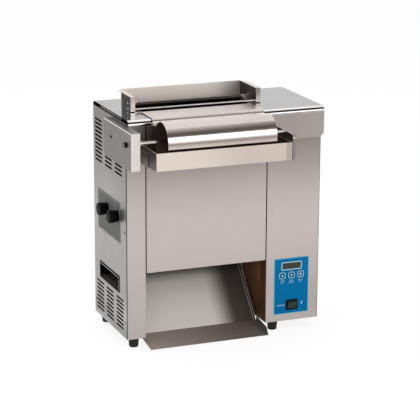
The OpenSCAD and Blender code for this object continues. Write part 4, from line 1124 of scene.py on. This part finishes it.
@dataclass
class CabinetShell(Assembly):
    """Panels, columns, rear cover, base, and the screws, painted shadow lines and strips on them."""

    screw_r: float = 4.4
    screw_h: float = 0.95
    # Half turns of a screw's recess for each metre along Y and Z
    screw_turn: tuple[float, float] = (37.0, 53.0)
    # Depth and height of each screw in a side panel, and place across and height of each in the rear cover
    side_screws: tuple[tuple[float, float], ...] = ((16.0, 304.0), (16.5, 45.0), (272.0, 559.0), (272.0, 39.0))
    rear_screws: tuple[tuple[float, float], ...] = (
        (-280.0, 30.0), (-280.0, 306.0), (-280.0, 590.0), (280.0, 30.0), (280.0, 306.0), (280.0, 590.0),
    )
    seam_y: float = 2.6
    seam_w: float = 4.0
    seam_t: float = 0.12
    seam_end: float = 1.0
    gap_shadow_x: float = HALF_WIDTH - 1.8
    gap_shadow_y: tuple[float, float] = (6.0, 268.0)
    gap_shadow_z: tuple[float, float] = (612.05, 613.25)
    gap_shadow_w: float = 3.2
    gap_shadow_edge: float = 0.3
    skirt_x: float = 285.7
    skirt_y: tuple[float, float] = (46.0, 225.0)
    skirt_z: tuple[float, float, float] = (613.4, 618.6, 622.3)
    skirt_t: float = 0.3

    def dress(self) -> None:
        """Give the sheet its finishes."""
        self.dress_fronts()
        self.dress_sides()
        self.dress_cover()
        self.dress_inside()

    def dress_fronts(self) -> None:
        """Front panel and columns, with a painted shadow of the tray at their tops and darker at their feet."""
        # Painted shadow of the tray and roller, darkest towards the tops
        tray_shadow = Patch("#948B87", *band(0.34, 0.94), fade=1.0)
        foot = Patch("#B2ABA8", *band(-0.42, 0.32), fade=1.0)
        # Painted shade in the joints at the sides of the front panel
        joints = [Patch(JOINT_SHADE, *layer("front_panel", 0, -0.6, 3.8, side, {1: (1.3, -1.0)})) for side in (0, 1)]
        # The column's fold beside the chute takes a warm brown tone, and its joint beside the panel gets painted shade
        column = "right_front_column"
        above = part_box("front_panel")[0].z / MM - FOOT
        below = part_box(column)[1].z / MM - FOOT - above
        fold, joint = (
            Patch(tone, *layer(column, 0, -0.6, 0.6, 0, {1: (1.5, -1.0), 2: trim}))
            for tone, trim in (("#A87456", (-1.0, below)), (JOINT_SHADE, (above, -1.0)))
        )
        for node, name, patches in (
            ("front_panel", "brushed_stainless_front_shaded", (tray_shadow, foot, *joints)),
            ("left_front_column", "brushed_stainless_left_column", (replace(tray_shadow, tone="#A8A29C"), foot)),
            (column, "brushed_stainless_column_shaded", (tray_shadow, foot, fold, joint)),
        ):
            self.shop.dress(FRONT_STEEL.patched(name, *patches), node)

    def dress_sides(self) -> None:
        """Side panels, rear cover and apron."""
        # Darker across the upper part of the sheet
        upper_dark = Patch("#A2A2A3", *band(0.256, 0.904), fade=1.0)
        # Painted shade along the lower edge, which takes down the floor's glare
        film = Patch("#8F8D8C", (-REACH, -0.45, -0.04), (REACH, 0.35, 0.1), fade=1.0, soft=(0, 1, 1))
        # Painted shade on the cut edges and inner faces of the sheet, so the slots read as black lines
        for node, axis, side in (("left_side_panel", 0, 0), ("right_side_panel", 0, 1), ("rear_cover", 1, 1)):
            inner = Patch(VENT_SHADE, *layer(node, axis, 0.15, 60.0, side))
            self.shop.dress(SIDE_STEEL.patched(f"brushed_{node}", upper_dark, film, inner), node)
        self.shop.dress(APRON_STEEL, "right_apron")

    def dress_cover(self) -> None:
        """Top cover, with painted shade on its cut ends and a front roll painted with a bright crest, a dark band and
        a bright edge.
        """
        # Painted highlights on the roll's crest and edge, with a painted dark reflection band between them
        bands = (("#F4F2F2", -1.0, 9.1), ("#5A5757", 5.9, 4.0), ("#F4F2F2", 11.0, -1.0))
        roll = [Patch(tone, *layer("top_cover", 1, -0.5, 11.0, 0, {2: trim})) for tone, *trim in bands]
        # Painted shade on the cut ends of the cover
        ends = [Patch("#2A2725", *layer("top_cover", 0, -0.5, 0.05, side)) for side in (0, 1)]
        self.shop.dress(COVER_STEEL.patched("polished_cover_painted_roll_and_ends", *roll, *ends), "top_cover")

    def dress_inside(self) -> None:
        """Inner walls, tinted towards the chute (a painted warm reflection on the right wall), darker low down and
        with painted shade towards the side bays, and the base on its feet.
        """
        # Darker towards the bottom
        low_dark = Patch("#2A211C", *band(-0.3, 0.14), fade=1.0)
        # The right wall's tint towards the chute is a painted warm reflection
        for node, side, tone in (("left_inner_wall", 0, "#7E6E63"), ("right_inner_wall", 1, "#BE8A70")):
            tint = Patch(tone, *layer(node, 0, -0.6, 0.5, 1 - side))
            # Painted shade on the face towards the side bay, behind the vents
            bay_shade = Patch(VENT_SHADE, *layer(node, 0, -0.6, 0.5, side))
            self.shop.dress(INNER_STEEL.patched(f"mill_stainless_{node}", tint, low_dark, bay_shade), node)
        # Painted shade in the side bays of the base, behind the vents
        bays = [Patch(VENT_SHADE, *layer("base_pan", 0, -1.0, wide, side)) for side, wide in ((0, 53.0), (1, 160.0))]
        self.shop.dress(INNER_STEEL.patched("mill_stainless_pan", *bays), "base_pan")
        self.shop.dress(RUBBER, "feet")

    def build(self) -> None:
        """Add the screws, the painted shadow beads beside the columns, and the painted shadow strips and satin strips
        under and on the cover's flanges.
        """
        self.screws()
        self.seams()
        gap_shadows = self.strips(self.gap_shadow_x, self.gap_shadow_y, self.gap_shadow_z, self.gap_shadow_w, self.gap_shadow_edge)
        self.shop.piece("cover_gap_shadows", gap_shadows, SHADOW_STRIP, "cabinet", "foot_rubber")
        foot, seam, top = self.skirt_z
        for name, finish, rise in (("cover_skirts", SKIRT, (foot, seam)), ("cover_shadows", SHADOW_STRIP, (seam, top))):
            strips = self.strips(self.skirt_x, self.skirt_y, rise, self.skirt_t, TRIM_EDGE)
            self.shop.piece(name, strips, finish, "cabinet", "satin_steel")

    def screws(self) -> None:
        """Screws in the side panels and the rear cover."""
        left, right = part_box("left_side_panel")[0].x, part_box("right_side_panel")[1].x
        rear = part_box("rear_cover")[1].y
        places = []
        for y, z in self.side_screws:
            spot = cabinet_point(0, y, z)
            places.append(Face.LEFT.at((left, spot.y, spot.z)))
            places.append(Face.RIGHT.at((right, spot.y, spot.z)))
        for x, z in self.rear_screws:
            spot = cabinet_point(x, 0, z)
            places.append(Face.REAR.at((spot.x, rear, spot.z)))
        heads = [(self.screw(place), place) for place in places]
        self.shop.piece("cabinet_screws", heads, SCREW_STEEL, "cabinet", "polished_steel")

    def screw(self, place: Matrix) -> Shape:
        """One screw head, its recess turned to an angle of its own as screws are left after driving.

        Args:
            place: Where it will sit, from which the angle is taken.

        Returns:
            The head.
        """
        bm = screw_head(self.screw_r * MM, self.screw_h * MM)
        deep, high = self.screw_turn
        angle = (place.translation.y * deep + place.translation.z * high) % 1.0
        bmesh.ops.rotate(bm, cent=(0, 0, 0), matrix=Matrix.Rotation(angle * math.pi, 3, "Z"), verts=bm.verts)
        return bm

    def seams(self) -> None:
        """Dark beads beside the front columns: a painted shadow in the joint."""
        beads = []
        for node, face, side in (("left_side_panel", Face.LEFT, 0), ("right_side_panel", Face.RIGHT, 1)):
            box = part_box(node)
            tall = box[1].z - box[0].z - 2 * self.seam_end * MM
            bead = block((self.seam_w * MM, tall, 2 * self.seam_t * MM), TRIM_EDGE * MM)
            spot = (box[side].x, cabinet_point(0, self.seam_y, 0).y, centre(box).z)
            beads.append((bead, face.at(spot)))
        self.shop.piece("column_seams", beads, SEAM, "cabinet", "satin_steel")

    @staticmethod
    def strips(
        x: float, run: tuple[float, float], rise: tuple[float, float], wide: float, edge: float
    ) -> list[Placed]:
        """Two strips along the cover's side flanges, one on each side of the cabinet.

        Args:
            x: Distance of their middles from the cabinet's middle.
            run: Where they start and end, back from the front face.
            rise: Their lower and upper edge.
            wide: Their width.
            edge: Rounding of their edges.

        Returns:
            The strips and their places.
        """
        size = Vector((wide, run[1] - run[0], rise[1] - rise[0])) * MM
        spots = [cabinet_point(side * x, sum(run) / 2, sum(rise) / 2) for side in (-1, 1)]
        return [(block(size, edge * MM), Matrix.Translation(spot)) for spot in spots]


@dataclass
class Feeder(Assembly):
    """Feeder on the cover: landing plate, walls, rod, divider, the wall rivets and the joints."""

    wall_w: float = 13.0
    # Where the back wall's shade starts from its left end, and how far it reaches past its right end
    shade_x: tuple[float, float] = (270.0, 90.0)
    rivet_r: float = 3.4
    rivet_h: float = 1.0
    rivet_back: float = 23.0
    rivet_rise: tuple[float, float] = (6.0, 21.0)
    # Section of a rivet's head, in shares of its radius and height
    rivet_dome: tuple[tuple[float, float], ...] = ((0, 1.0), (0.55, 0.86), (0.88, 0.45), (1.0, 0.0))
    joint_h: float = 2.2
    joint_w: float = 1.8
    joint_t: float = 0.16
    joint_run: float = 72.0
    # Depth, height and radius of the roll at the landing plate's front
    roll: tuple[float, float, float] = (-8.0, 611.6, 12.0)

    def dress(self) -> None:
        """Give the sheet and bars their finishes."""
        self.shop.dress(LANDING_STEEL, "landing_plate")
        self.shop.dress(BAR_STEEL, "feeder_front_rod")
        self.shop.dress(HEATED_BAR, "lane_divider")
        # Painted reflection: the back wall darkens towards the right end wall, which it mirrors
        low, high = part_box("feeder_back_wall")
        start, past = (Vector((x * MM, way, way)) for x, way in zip(self.shade_x, (-1, 1)))
        corner = Patch("#AEA8A2", low + start, high + past, fade=1.0)
        self.shop.dress(FEEDER_STEEL.patched("polished_feeder_back", corner), "feeder_back_wall")
        # Painted dark reflections: the end walls are dark on one broad face and bright round it
        trim = {1: (1.4, 0.0), 2: (-1.4, 1.4)}
        outer = Patch("#100E0D", *layer("feeder_left_wall", 0, -1.4, 0.4, 0, trim))
        self.shop.dress(WALL_STEEL.patched("polished_left_end_wall", outer), "feeder_left_wall")
        inner = Patch("#5A5450", *layer("feeder_right_wall", 0, self.wall_w - 1.4, self.wall_w + 0.05, 1, trim))
        edge = Patch("#B0A9A5", *layer("feeder_right_wall", 1, -0.6, 0.6))
        self.shop.dress(WALL_STEEL.patched("polished_right_end_wall", edge, inner), "feeder_right_wall")

    def build(self) -> None:
        """Rivet the outer faces of the end walls, and lay painted shadow lines in the joints."""
        profile = [(r * self.rivet_r * MM, z * self.rivet_h * MM) for r, z in self.rivet_dome]
        rivets, joints = [], []
        for node, face, side in (("feeder_left_wall", Face.LEFT, 0), ("feeder_right_wall", Face.RIGHT, 1)):
            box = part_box(node)
            for rise in self.rivet_rise:
                spot = (box[side].x, box[0].y + self.rivet_back * MM, box[0].z + rise * MM)
                rivets.append((turned(profile, HEAD_STEPS), face.at(spot)))
            foot = block(Vector((self.wall_w, self.joint_h, self.joint_t)) * MM)
            spot = (box[side].x + (0.5 - side) * self.wall_w * MM, box[0].y, box[0].z + self.joint_h * MM / 2)
            joints.append((foot, Face.FRONT.at(spot)))
        joints += [(self.edge_joint(side), Matrix()) for side in (0, 1)]
        self.shop.piece("feeder_rivets", rivets, RIVET_STEEL, "cabinet", "polished_steel")
        self.shop.piece("feeder_joints", joints, SHADOW_STRIP, "cabinet", "foot_rubber")

    def edge_joint(self, side: int) -> Shape:
        """Painted shadow line along one edge of the landing plate and down its front roll.

        Args:
            side: Zero for the left edge, one for the right.

        Returns:
            The joint in the part's frame.
        """
        y, z, radius = self.roll
        bend = cabinet_point(0, y, z)
        reach = (radius + self.joint_t) * MM
        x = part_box("landing_plate")[side].x
        path = [Vector((x, bend.y + self.joint_run * MM, bend.z + reach))]
        for angle in range(90, 181, 10):
            a = math.radians(angle)
            path.append(Vector((x, bend.y + reach * math.cos(a), bend.z + reach * math.sin(a))))
        return ribbon(path, ((2 * side - 1) * self.joint_w * MM, 0, 0), self.joint_t * MM)


@dataclass
class ButterStation(Assembly):
    """Butter roller, its shaft and brackets, and the tray below."""

    tube_wall: float = 1.5
    tray_sheet: float = 1.2
    tray_rim: float = 0.3
    # Where the tray's shade starts, from its left end
    shade_start: float = 50.0

    def dress(self) -> None:
        """Give the roller, tray and brackets their finishes."""
        low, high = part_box("roller_tube")
        axis = centre((low, high))
        skin = (high.z - low.z) / 2 - 0.5 * self.tube_wall * MM
        self.shop.dress(replace(ROLLER_STEEL, axis=(axis.y, axis.z), skin=skin), "roller_tube")
        self.shop.dress(BAR_STEEL, "roller_shaft")
        self.shop.dress(BRACKET_STEEL, "roller_bracket", "tray_bracket")
        self.dress_tray()

    def dress_tray(self) -> None:
        """Tray, with painted shade that dims it to the right, a strip of its own tone at its right end, a darker left
        end face, and darker and browner inside.
        """
        low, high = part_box("butter_tray")
        # Painted shade that grows towards the right end
        start = low.x + self.shade_start * MM
        far = Patch("#D5C7C0", (start, -1.0, -1.0), (2 * high.x - start, 1.0, 1.2), fade=1.0)
        near = Patch("#7A726B", *layer("butter_tray", 0, -0.6, 0.4))
        end = Patch("#C2B7AE", *layer("butter_tray", 0, -25.0, 22.0, 1), fade=0.35, soft=(1, 0, 0))
        # From the middle of the sheet inwards, and just below the rim
        half = self.tray_sheet / 2 * MM
        top = (high.x - half, high.y - half, high.z - self.tray_rim * MM)
        # Darker and browner inside the tray
        film = Patch("#8E7E72", tuple(c + half for c in low), top)
        self.shop.dress(TRAY_STEEL.patched("pressed_stainless_tray_shaded", far, near, end, film), "butter_tray")


@dataclass
class DriveBox(Assembly):
    """Box on the left side with the roller's chain."""

    def dress(self) -> None:
        """Give the box, chain and bushes their finishes."""
        # Blasted outer face, and a painted shadow on the top beside the cover, between bright folds
        outer = Patch("#898686", *layer("drive_box_cover", 0, -0.6, 0.6, 0, {1: (0.6, -1.0), 2: (-1.0, 3.0)}))
        top = Patch("#504E4E", *layer("drive_box_cover", 2, -0.6, 0.6, 1, {0: (1.6, -1.0), 1: (1.6, -1.0)}))
        self.shop.dress(BOX_STEEL.patched("blasted_stainless_box_shaded", outer, top), "drive_box_cover")
        self.shop.dress(BRACKET_STEEL, "drive_box_plate")
        self.shop.dress(CHAIN_STEEL, "roller_chain")
        self.shop.dress(BUSH_PLASTIC, "shaft_bushes")


@dataclass
class SideControls(Assembly):
    """Compression knobs on their plate, and the handle cups."""

    # Inset and width of each line of the plate's border, from the outside in
    borders: tuple[tuple[float, float], ...] = ((0.3, 1.7), (2.1, 2.2), (4.5, 1.5))
    border_corner: float = 1.5
    ink: float = 0.06
    # Handle cup as the source has it: bezel beyond its opening, from there to its inner wall, and its floor
    bezel: float = 4.0
    cup_wall: float = 2.4
    cup_floor: float = 2.0
    liner_t: float = 0.6
    liner_edge: float = 0.2
    # Room round the liner, behind its back sheet and below its tread
    liner_play: float = 1.2
    liner_gap: float = 0.15
    tread_gap: float = 0.1
    tread_short: float = 6.0
    rim_inset: float = 4.2
    # Width of the rim along the top and along the front
    rim_w: tuple[float, float] = (1.7, 1.5)
    rim_t: float = 0.16
    rim_edge: float = 0.04
    # Width of the painted shadow strip along the top and along the front
    gap_shadow_w: tuple[float, float] = (1.4, 3.4)
    gap_shadow_t: float = 0.3

    def dress(self) -> None:
        """Give knobs, plate and cups their finishes."""
        self.shop.dress(PLATE_GREY, "knob_plate")
        self.shop.dress(BLACK_PLASTIC, "front_knob", "rear_knob", "left_handle_cup", "right_handle_cup")
        self.shop.dress(CHAIN_STEEL, "front_cam_spindle", "rear_cam_spindle")

    def build(self) -> None:
        """Print the plate's border, and line the handle cups, with a painted rim highlight and painted shadow strips.
        """
        low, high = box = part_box("knob_plate")
        place = Face.LEFT.at((low.x, *centre(box).yz))
        lines = []
        for inset, line in self.borders:
            wide, tall = ((high[i] - low[i]) - 2 * inset * MM for i in (1, 2))
            frame = outline_frame(wide, tall, self.border_corner * MM, line * MM, self.ink * MM)
            lines.append((frame, place))
        light = [lines.pop(1)]
        self.shop.piece("knob_plate_dark_lines", lines, PLATE_DARK, "cabinet", "plate_grey")
        self.shop.piece("knob_plate_light_line", light, PLATE_LIGHT, "cabinet", "plate_grey")
        for hand, face, side in (("left", Face.LEFT, 0), ("right", Face.RIGHT, 1)):
            node = f"{hand}_handle_cup"
            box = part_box(node)
            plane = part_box(f"{hand}_side_panel")[side].x
            for kind, parts, finish in (
                ("liner", self.liner(face, box, 1 - side), CUP_LINER),
                ("rim", self.rim(face, box, side), CUP_RIM),
                ("gap_shadow", self.gap_shadow(face, box, plane), SHADOW_STRIP),
            ):
                self.shop.piece(f"{node}_{kind}", parts, finish, "cabinet", "black_plastic")

    def liner(self, face: Face, box: Box, back: int) -> list[Placed]:
        """Thin liner on the back and the floor of one handle cup.

        Args:
            face: Side of the cabinet that it opens to.
            box: Lowest and highest corner of the cup.
            back: Which corner holds the cup's inner end.

        Returns:
            The two sheets and their places.
        """
        low, high = box
        middle = centre(box)
        walls = 2 * (self.bezel + self.cup_wall) + self.liner_play
        wide, tall = (high[i] - low[i] - walls * MM for i in (1, 2))
        thick, edge = self.liner_t * MM, self.liner_edge * MM
        sheet = block((wide, tall, thick), edge)
        bmesh.ops.translate(sheet, vec=(0, 0, thick / 2), verts=sheet.verts)
        depth = box[back].x + (1 - 2 * back) * (self.cup_floor + self.liner_gap) * MM
        tread = block((high.x - low.x - self.tread_short * MM, wide, thick), edge)
        foot = low.z + (self.bezel + self.cup_wall + self.liner_t / 2 + self.tread_gap) * MM
        return [
            (sheet, face.at((depth, middle.y, middle.z))),
            (tread, Matrix.Translation((middle.x, middle.y, foot))),
        ]

    def rim(self, face: Face, box: Box, side: int) -> list[Placed]:
        """Painted highlight strip along the top and the front of one cup's mouth.

        Args:
            face: Side of the cabinet that it opens to.
            box: Lowest and highest corner of the cup.
            side: Which corner holds the cup's bezel.

        Returns:
            The two strips and their places.
        """
        low, high = box
        x, y, z = box[side].x, *centre(box).yz
        inset, thick, edge = self.rim_inset * MM, self.rim_t * MM, self.rim_edge * MM
        over, ahead = (width * MM for width in self.rim_w)
        top = block((high.y - low.y - 2 * inset, over, thick), edge)
        front = block((ahead, high.z - low.z - 2 * inset, thick), edge)
        return [
            (top, face.at((x, y, high.z - inset - over / 2))),
            (front, face.at((x, low.y + inset + ahead / 2, z))),
        ]

    def gap_shadow(self, face: Face, box: Box, plane: float) -> list[Placed]:
        """Black strips beyond one cup's bezel at the top and the front: a painted shadow.

        Args:
            face: Side of the cabinet that it opens to.
            box: Lowest and highest corner of the cup.
            plane: Where the panel's outer face lies along X.

        Returns:
            The two strips and their places.
        """
        low, high = box
        over, ahead = (width * MM for width in self.gap_shadow_w)
        thick, edge = self.gap_shadow_t * MM, TRIM_EDGE * MM
        top = block((high.y - low.y + ahead, over, thick), edge)
        front = block((ahead, high.z - low.z, thick), edge)
        return [
            (top, face.at((plane, (low.y - ahead + high.y) / 2, high.z + over / 2))),
            (front, face.at((plane, low.y - ahead / 2, centre(box).z))),
        ]


@dataclass
class ControlPanel(Assembly):
    """Printed overlay with display, keys and power switch."""

    ink: float = 0.06
    # Inset, corner and width of the lines round the display and along the overlay's edge
    display_line: tuple[float, float, float] = (0.2, 2.0, 2.3)
    edge_line: tuple[float, float, float] = (0.15, 4.0, 1.7)
    # The same of the line round a key, whose corners have two segments
    key_line: tuple[float, float, float] = (0.3, 5.2, 1.7)
    key_steps: int = 2
    # Size, corner and width of a ring, whose corners have eight segments
    set_ring: tuple[float, float, float] = (8.0, 3.9, 1.2)
    off_ring: tuple[float, float, float] = (5.0, 2.45, 0.9)
    ring_steps: int = 8
    set_dot: float = 1.5
    dot_steps: int = 16
    arrow: float = 4.2
    caption: float = 5.4
    caption_drop: tuple[float, float] = (16.8, 22.8)
    power_caption: float = 6.6
    power_shift: float = 33.0
    # Place of the stroke beside the switch, its width and height, and its lean in degrees
    stroke_at: tuple[float, float] = (31.5, 3.0)
    stroke: tuple[float, float] = (2.2, 11.0)
    stroke_lean: float = -12.0
    # Rocker as the source has it: pivot, tip at rest in degrees, reach of its middle, and rise and run of its slopes
    rocker_pivot: tuple[float, float, float] = (208.0, 3.4, 46.5)
    rocker_tip: float = 8.0
    rocker_reach: float = 7.8
    rocker_slope: tuple[float, float] = (1.5, 12.4)
    mark_rise: float = 6.6
    on_bar: tuple[float, float] = (1.1, 4.6)
    # Body and caption of each key
    keys: tuple[tuple[str, str, tuple[str, str]], ...] = (
        ("up_key", "up_button", ("TEMP", "UP")),
        ("down_key", "down_button", ("TEMP", "DOWN")),
        ("set_key", "set_button", ("MENU", "SET")),
    )

    def dress(self) -> None:
        """Give the film, keys, lens and switch their finishes."""
        self.shop.dress(FILM, "control_overlay")
        self.shop.dress(KEY_FILM, *(node for node, _, _ in self.keys))
        self.shop.dress(LENS, "display_window")
        self.shop.dress(BLACK_PLASTIC, "rocker_bezel")
        self.shop.dress(ROCKER, "power_rocker")

    @staticmethod
    def front_of(node: str) -> Vector:
        """Middle of a node's front face."""
        low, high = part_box(node)
        return Vector(((low.x + high.x) / 2, low.y, (low.z + high.z) / 2))

    def build(self) -> None:
        """Print the lines and legends, and mark the keys and the switch."""
        for name, node, line, finish in (
            ("display_frame", "display_window", self.display_line, WHITE_INK),
            ("overlay_edge", "control_overlay", self.edge_line, EDGE_INK),
        ):
            self.shop.piece(name, [self.line_round(node, line)], finish, "cabinet", "overlay_film")
        self.legends()
        for node, body, _ in self.keys:
            place = Face.FRONT.at(self.front_of(node))
            parts = [self.line_round(node, self.key_line, self.key_steps)]
            parts += [(mark, place) for mark in self.key_marks(node)]
            self.shop.piece(f"{node}_print", parts, WHITE_INK, body, "key_film")
        self.rocker_marks()

    def line_round(self, node: str, line: tuple[float, float, float], steps: int = 5) -> Placed:
        """Line printed along the edge of a node's front face.

        Args:
            node: CAD node.
            line: Inset, corner and width of the line.
            steps: Segments of each corner.

        Returns:
            The line and its place.
        """
        low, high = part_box(node)
        inset, corner, width = (size * MM for size in line)
        wide, tall = (high[i] - low[i] - 2 * inset for i in (0, 2))
        frame = outline_frame(wide, tall, corner, width, self.ink * MM, steps)
        return frame, Face.FRONT.at(self.front_of(node))

    def ring(self, sizes: tuple[float, float, float]) -> Shape:
        """Printed ring from its size, corner and width."""
        size, corner, width = (value * MM for value in sizes)
        return outline_frame(size, size, corner, width, self.ink * MM, self.ring_steps)

    def key_marks(self, node: str) -> list[Shape]:
        """Arrow of a key, or ring and dot of the third one.

        Args:
            node: CAD node of the key.

        Returns:
            The marks, flat around the origin.
        """
        if node == "set_key":
            return [self.ring(self.set_ring), flat_shape(self.dot_steps, self.set_dot * MM, self.ink * MM)]
        return [flat_shape(3, self.arrow * MM, self.ink * MM, turn=0 if node == "up_key" else 180)]

    def legends(self) -> None:
        """Captions under the keys and marks beside the power switch."""
        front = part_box("control_overlay")[0].y
        depth = self.ink * MM
        parts = []
        for node, _, lines in self.keys:
            middle = self.front_of(node)
            for words, drop in zip(lines, self.caption_drop):
                place = Face.FRONT.at((middle.x, front, middle.z - drop * MM))
                parts.append((lettering(words, self.caption * MM, depth), place))
        switch = self.front_of("rocker_bezel")
        place = Face.FRONT.at((switch.x - self.power_shift * MM, front, switch.z))
        parts.append((lettering("POWER", self.power_caption * MM, depth), place))
        beside, rise = self.stroke_at
        place = Face.FRONT.at((switch.x + beside * MM, front, switch.z + rise * MM))
        lean = Matrix.Rotation(math.radians(self.stroke_lean), 4, "Z")
        parts.append((raise_flat(flat_bar(*(size * MM for size in self.stroke)), depth), place @ lean))
        self.shop.piece("overlay_legends", parts, WHITE_INK, "cabinet", "overlay_film")

    def rocker_marks(self) -> None:
        """Bar and ring on the two slopes of the rocker, which rests tipped to off."""
        pivot = Matrix.Translation(cabinet_point(*self.rocker_pivot))
        tip = pivot @ Matrix.Rotation(math.radians(self.rocker_tip), 4, "X")
        rise, run = self.rocker_slope
        depth = -self.rocker_reach - rise * self.mark_rise / run
        bar = raise_flat(flat_bar(*(size * MM for size in self.on_bar)), self.ink * MM)
        parts = []
        for mark, side in ((bar, 1), (self.ring(self.off_ring), -1)):
            spot = Matrix.Translation(Vector((0, depth, side * self.mark_rise)) * MM)
            slope = Matrix.Rotation(math.atan2(side * rise, run), 4, "X")
            parts.append((mark, tip @ spot @ slope @ Face.FRONT.at((0, 0, 0))))
        self.shop.piece("rocker_marks", parts, ROCKER_MARK, "rocker", "black_plastic")


@dataclass
class Chute(Assembly):
    """Sloping chute that slides out below the front panel."""

    # Depth and height of the bend at the slope's foot, and of the slope's top
    bend: tuple[float, float] = (58.0, -7.8)
    top: tuple[float, float] = (189.0, 137.7)
    wall: float = 13.0
    lip_rise: float = 30.0
    wall_shadow_w: float = 130.0
    # How far below the chute's top the painted shadow is darkest, and how far it reaches from there
    shadow_drop: float = 16.0
    shadow_reach: float = 42.0
    # Width and thickness of the painted highlight strips, and the inset of those along the walls' tops
    hem: float = 0.9
    hem_t: float = 0.4
    hem_inset: float = 0.05
    crest_rise: float = 5.0
    foot_inset: float = 5.0
    foot_rise: float = 0.6

    def dress(self) -> None:
        """Give the chute and its rods their finishes."""
        low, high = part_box("bun_chute")
        bend = cabinet_point(0, *self.bend)
        # Painted shadow of the right wall towards it, greyer on the lip, and a painted shadow at the top, under the
        # platen
        wall_shadow_w = self.wall_shadow_w * MM
        wall_shadow = Patch("#544E4A", (high.x - wall_shadow_w, -1.0, -1.0), (high.x + wall_shadow_w, 1.0, 1.0), fade=0.6)
        lip_top = bend.z + self.lip_rise * MM
        lip = Patch("#B0A298", (low.x - MM, low.y - MM, low.z - MM), (high.x + MM, bend.y, lip_top))
        far = (2 * high.x - low.x, bend.y, lip_top)
        shade = Patch("#766E68", (low.x, low.y - MM, low.z - MM), far, fade=1.0, soft=(1, 0, 0))
        darkest, reach = high.z - self.shadow_drop * MM, self.shadow_reach * MM
        top_shadow = Patch("#332E2A", *band(darkest - reach, darkest + reach), fade=1.0, soft=(0, 0, 1))
        self.shop.dress(CHUTE_STEEL.patched("blasted_stainless_chute", wall_shadow, lip, shade, top_shadow), "bun_chute")
        self.shop.dress(BAR_STEEL, "chute_rests")

    def build(self) -> None:
        """Painted highlight strips along the tops and the feet of the side walls."""
        low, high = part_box("bun_chute")
        bend, top = (cabinet_point(0, *place) for place in (self.bend, self.top))
        ends = (bend, top)
        crests = (bend.z + self.crest_rise * MM, top.z + self.wall * MM)
        feet = [end.z + self.foot_rise * MM for end in ends]
        parts = []
        for x, inward in ((low.x, 1), (high.x, -1)):
            across = (inward * self.hem * MM, 0, 0)
            for inset, heights in ((self.hem_inset, crests), (self.foot_inset, feet)):
                path = [Vector((x + inward * inset * MM, end.y, z)) for end, z in zip(ends, heights)]
                parts.append((ribbon(path, across, self.hem_t * MM), Matrix()))
        self.shop.piece("chute_glint_strips", parts, GLINT_STRIP_STEEL, "chute", "satin_steel")


@dataclass
class Mechanism(Assembly):
    """Platen, conveyors, drive train, fan and board inside the cabinet."""

    def dress(self) -> None:
        """Give the inner pieces their finishes."""
        self.shop.dress(PLATEN, "platen")
        self.shop.dress(CHAIN_STEEL, "platen_heaters")
        self.shop.dress(INNER_STEEL, "front_conveyor_frame", "rear_conveyor_frame")
        self.shop.dress(BELT, "front_belt", "rear_belt")
        self.shop.dress(BAR_STEEL, "front_drive_shaft", "rear_drive_shaft", "front_idler", "rear_idler")
        self.shop.dress(BRASS, "motor_gear", "idler_gear")
        self.shop.dress(MOTOR_PAINT, "gearmotor")
        self.shop.dress(BLACK_PLASTIC, "fan_housing", "fan_rotor", "cord_gland")
        self.shop.dress(BOARD, "control_board")


def main() -> None:
    """Load the frame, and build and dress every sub-assembly."""
    logging.basicConfig(level=logging.INFO, format="%(message)s")
    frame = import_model()
    bpy.context.scene.view_settings.view_transform = "Standard"
    PhotoCamera().build()
    Studio().build()
    shop = Workshop(frame["nodes"])
    for kind in (CabinetShell, Feeder, ButterStation, DriveBox, SideControls, ControlPanel, Chute, Mechanism):
        assembly = kind(shop)
        assembly.dress()
        assembly.build()
        LOG.info("built %s", kind.__name__)


if __name__ == "__main__":
    main()
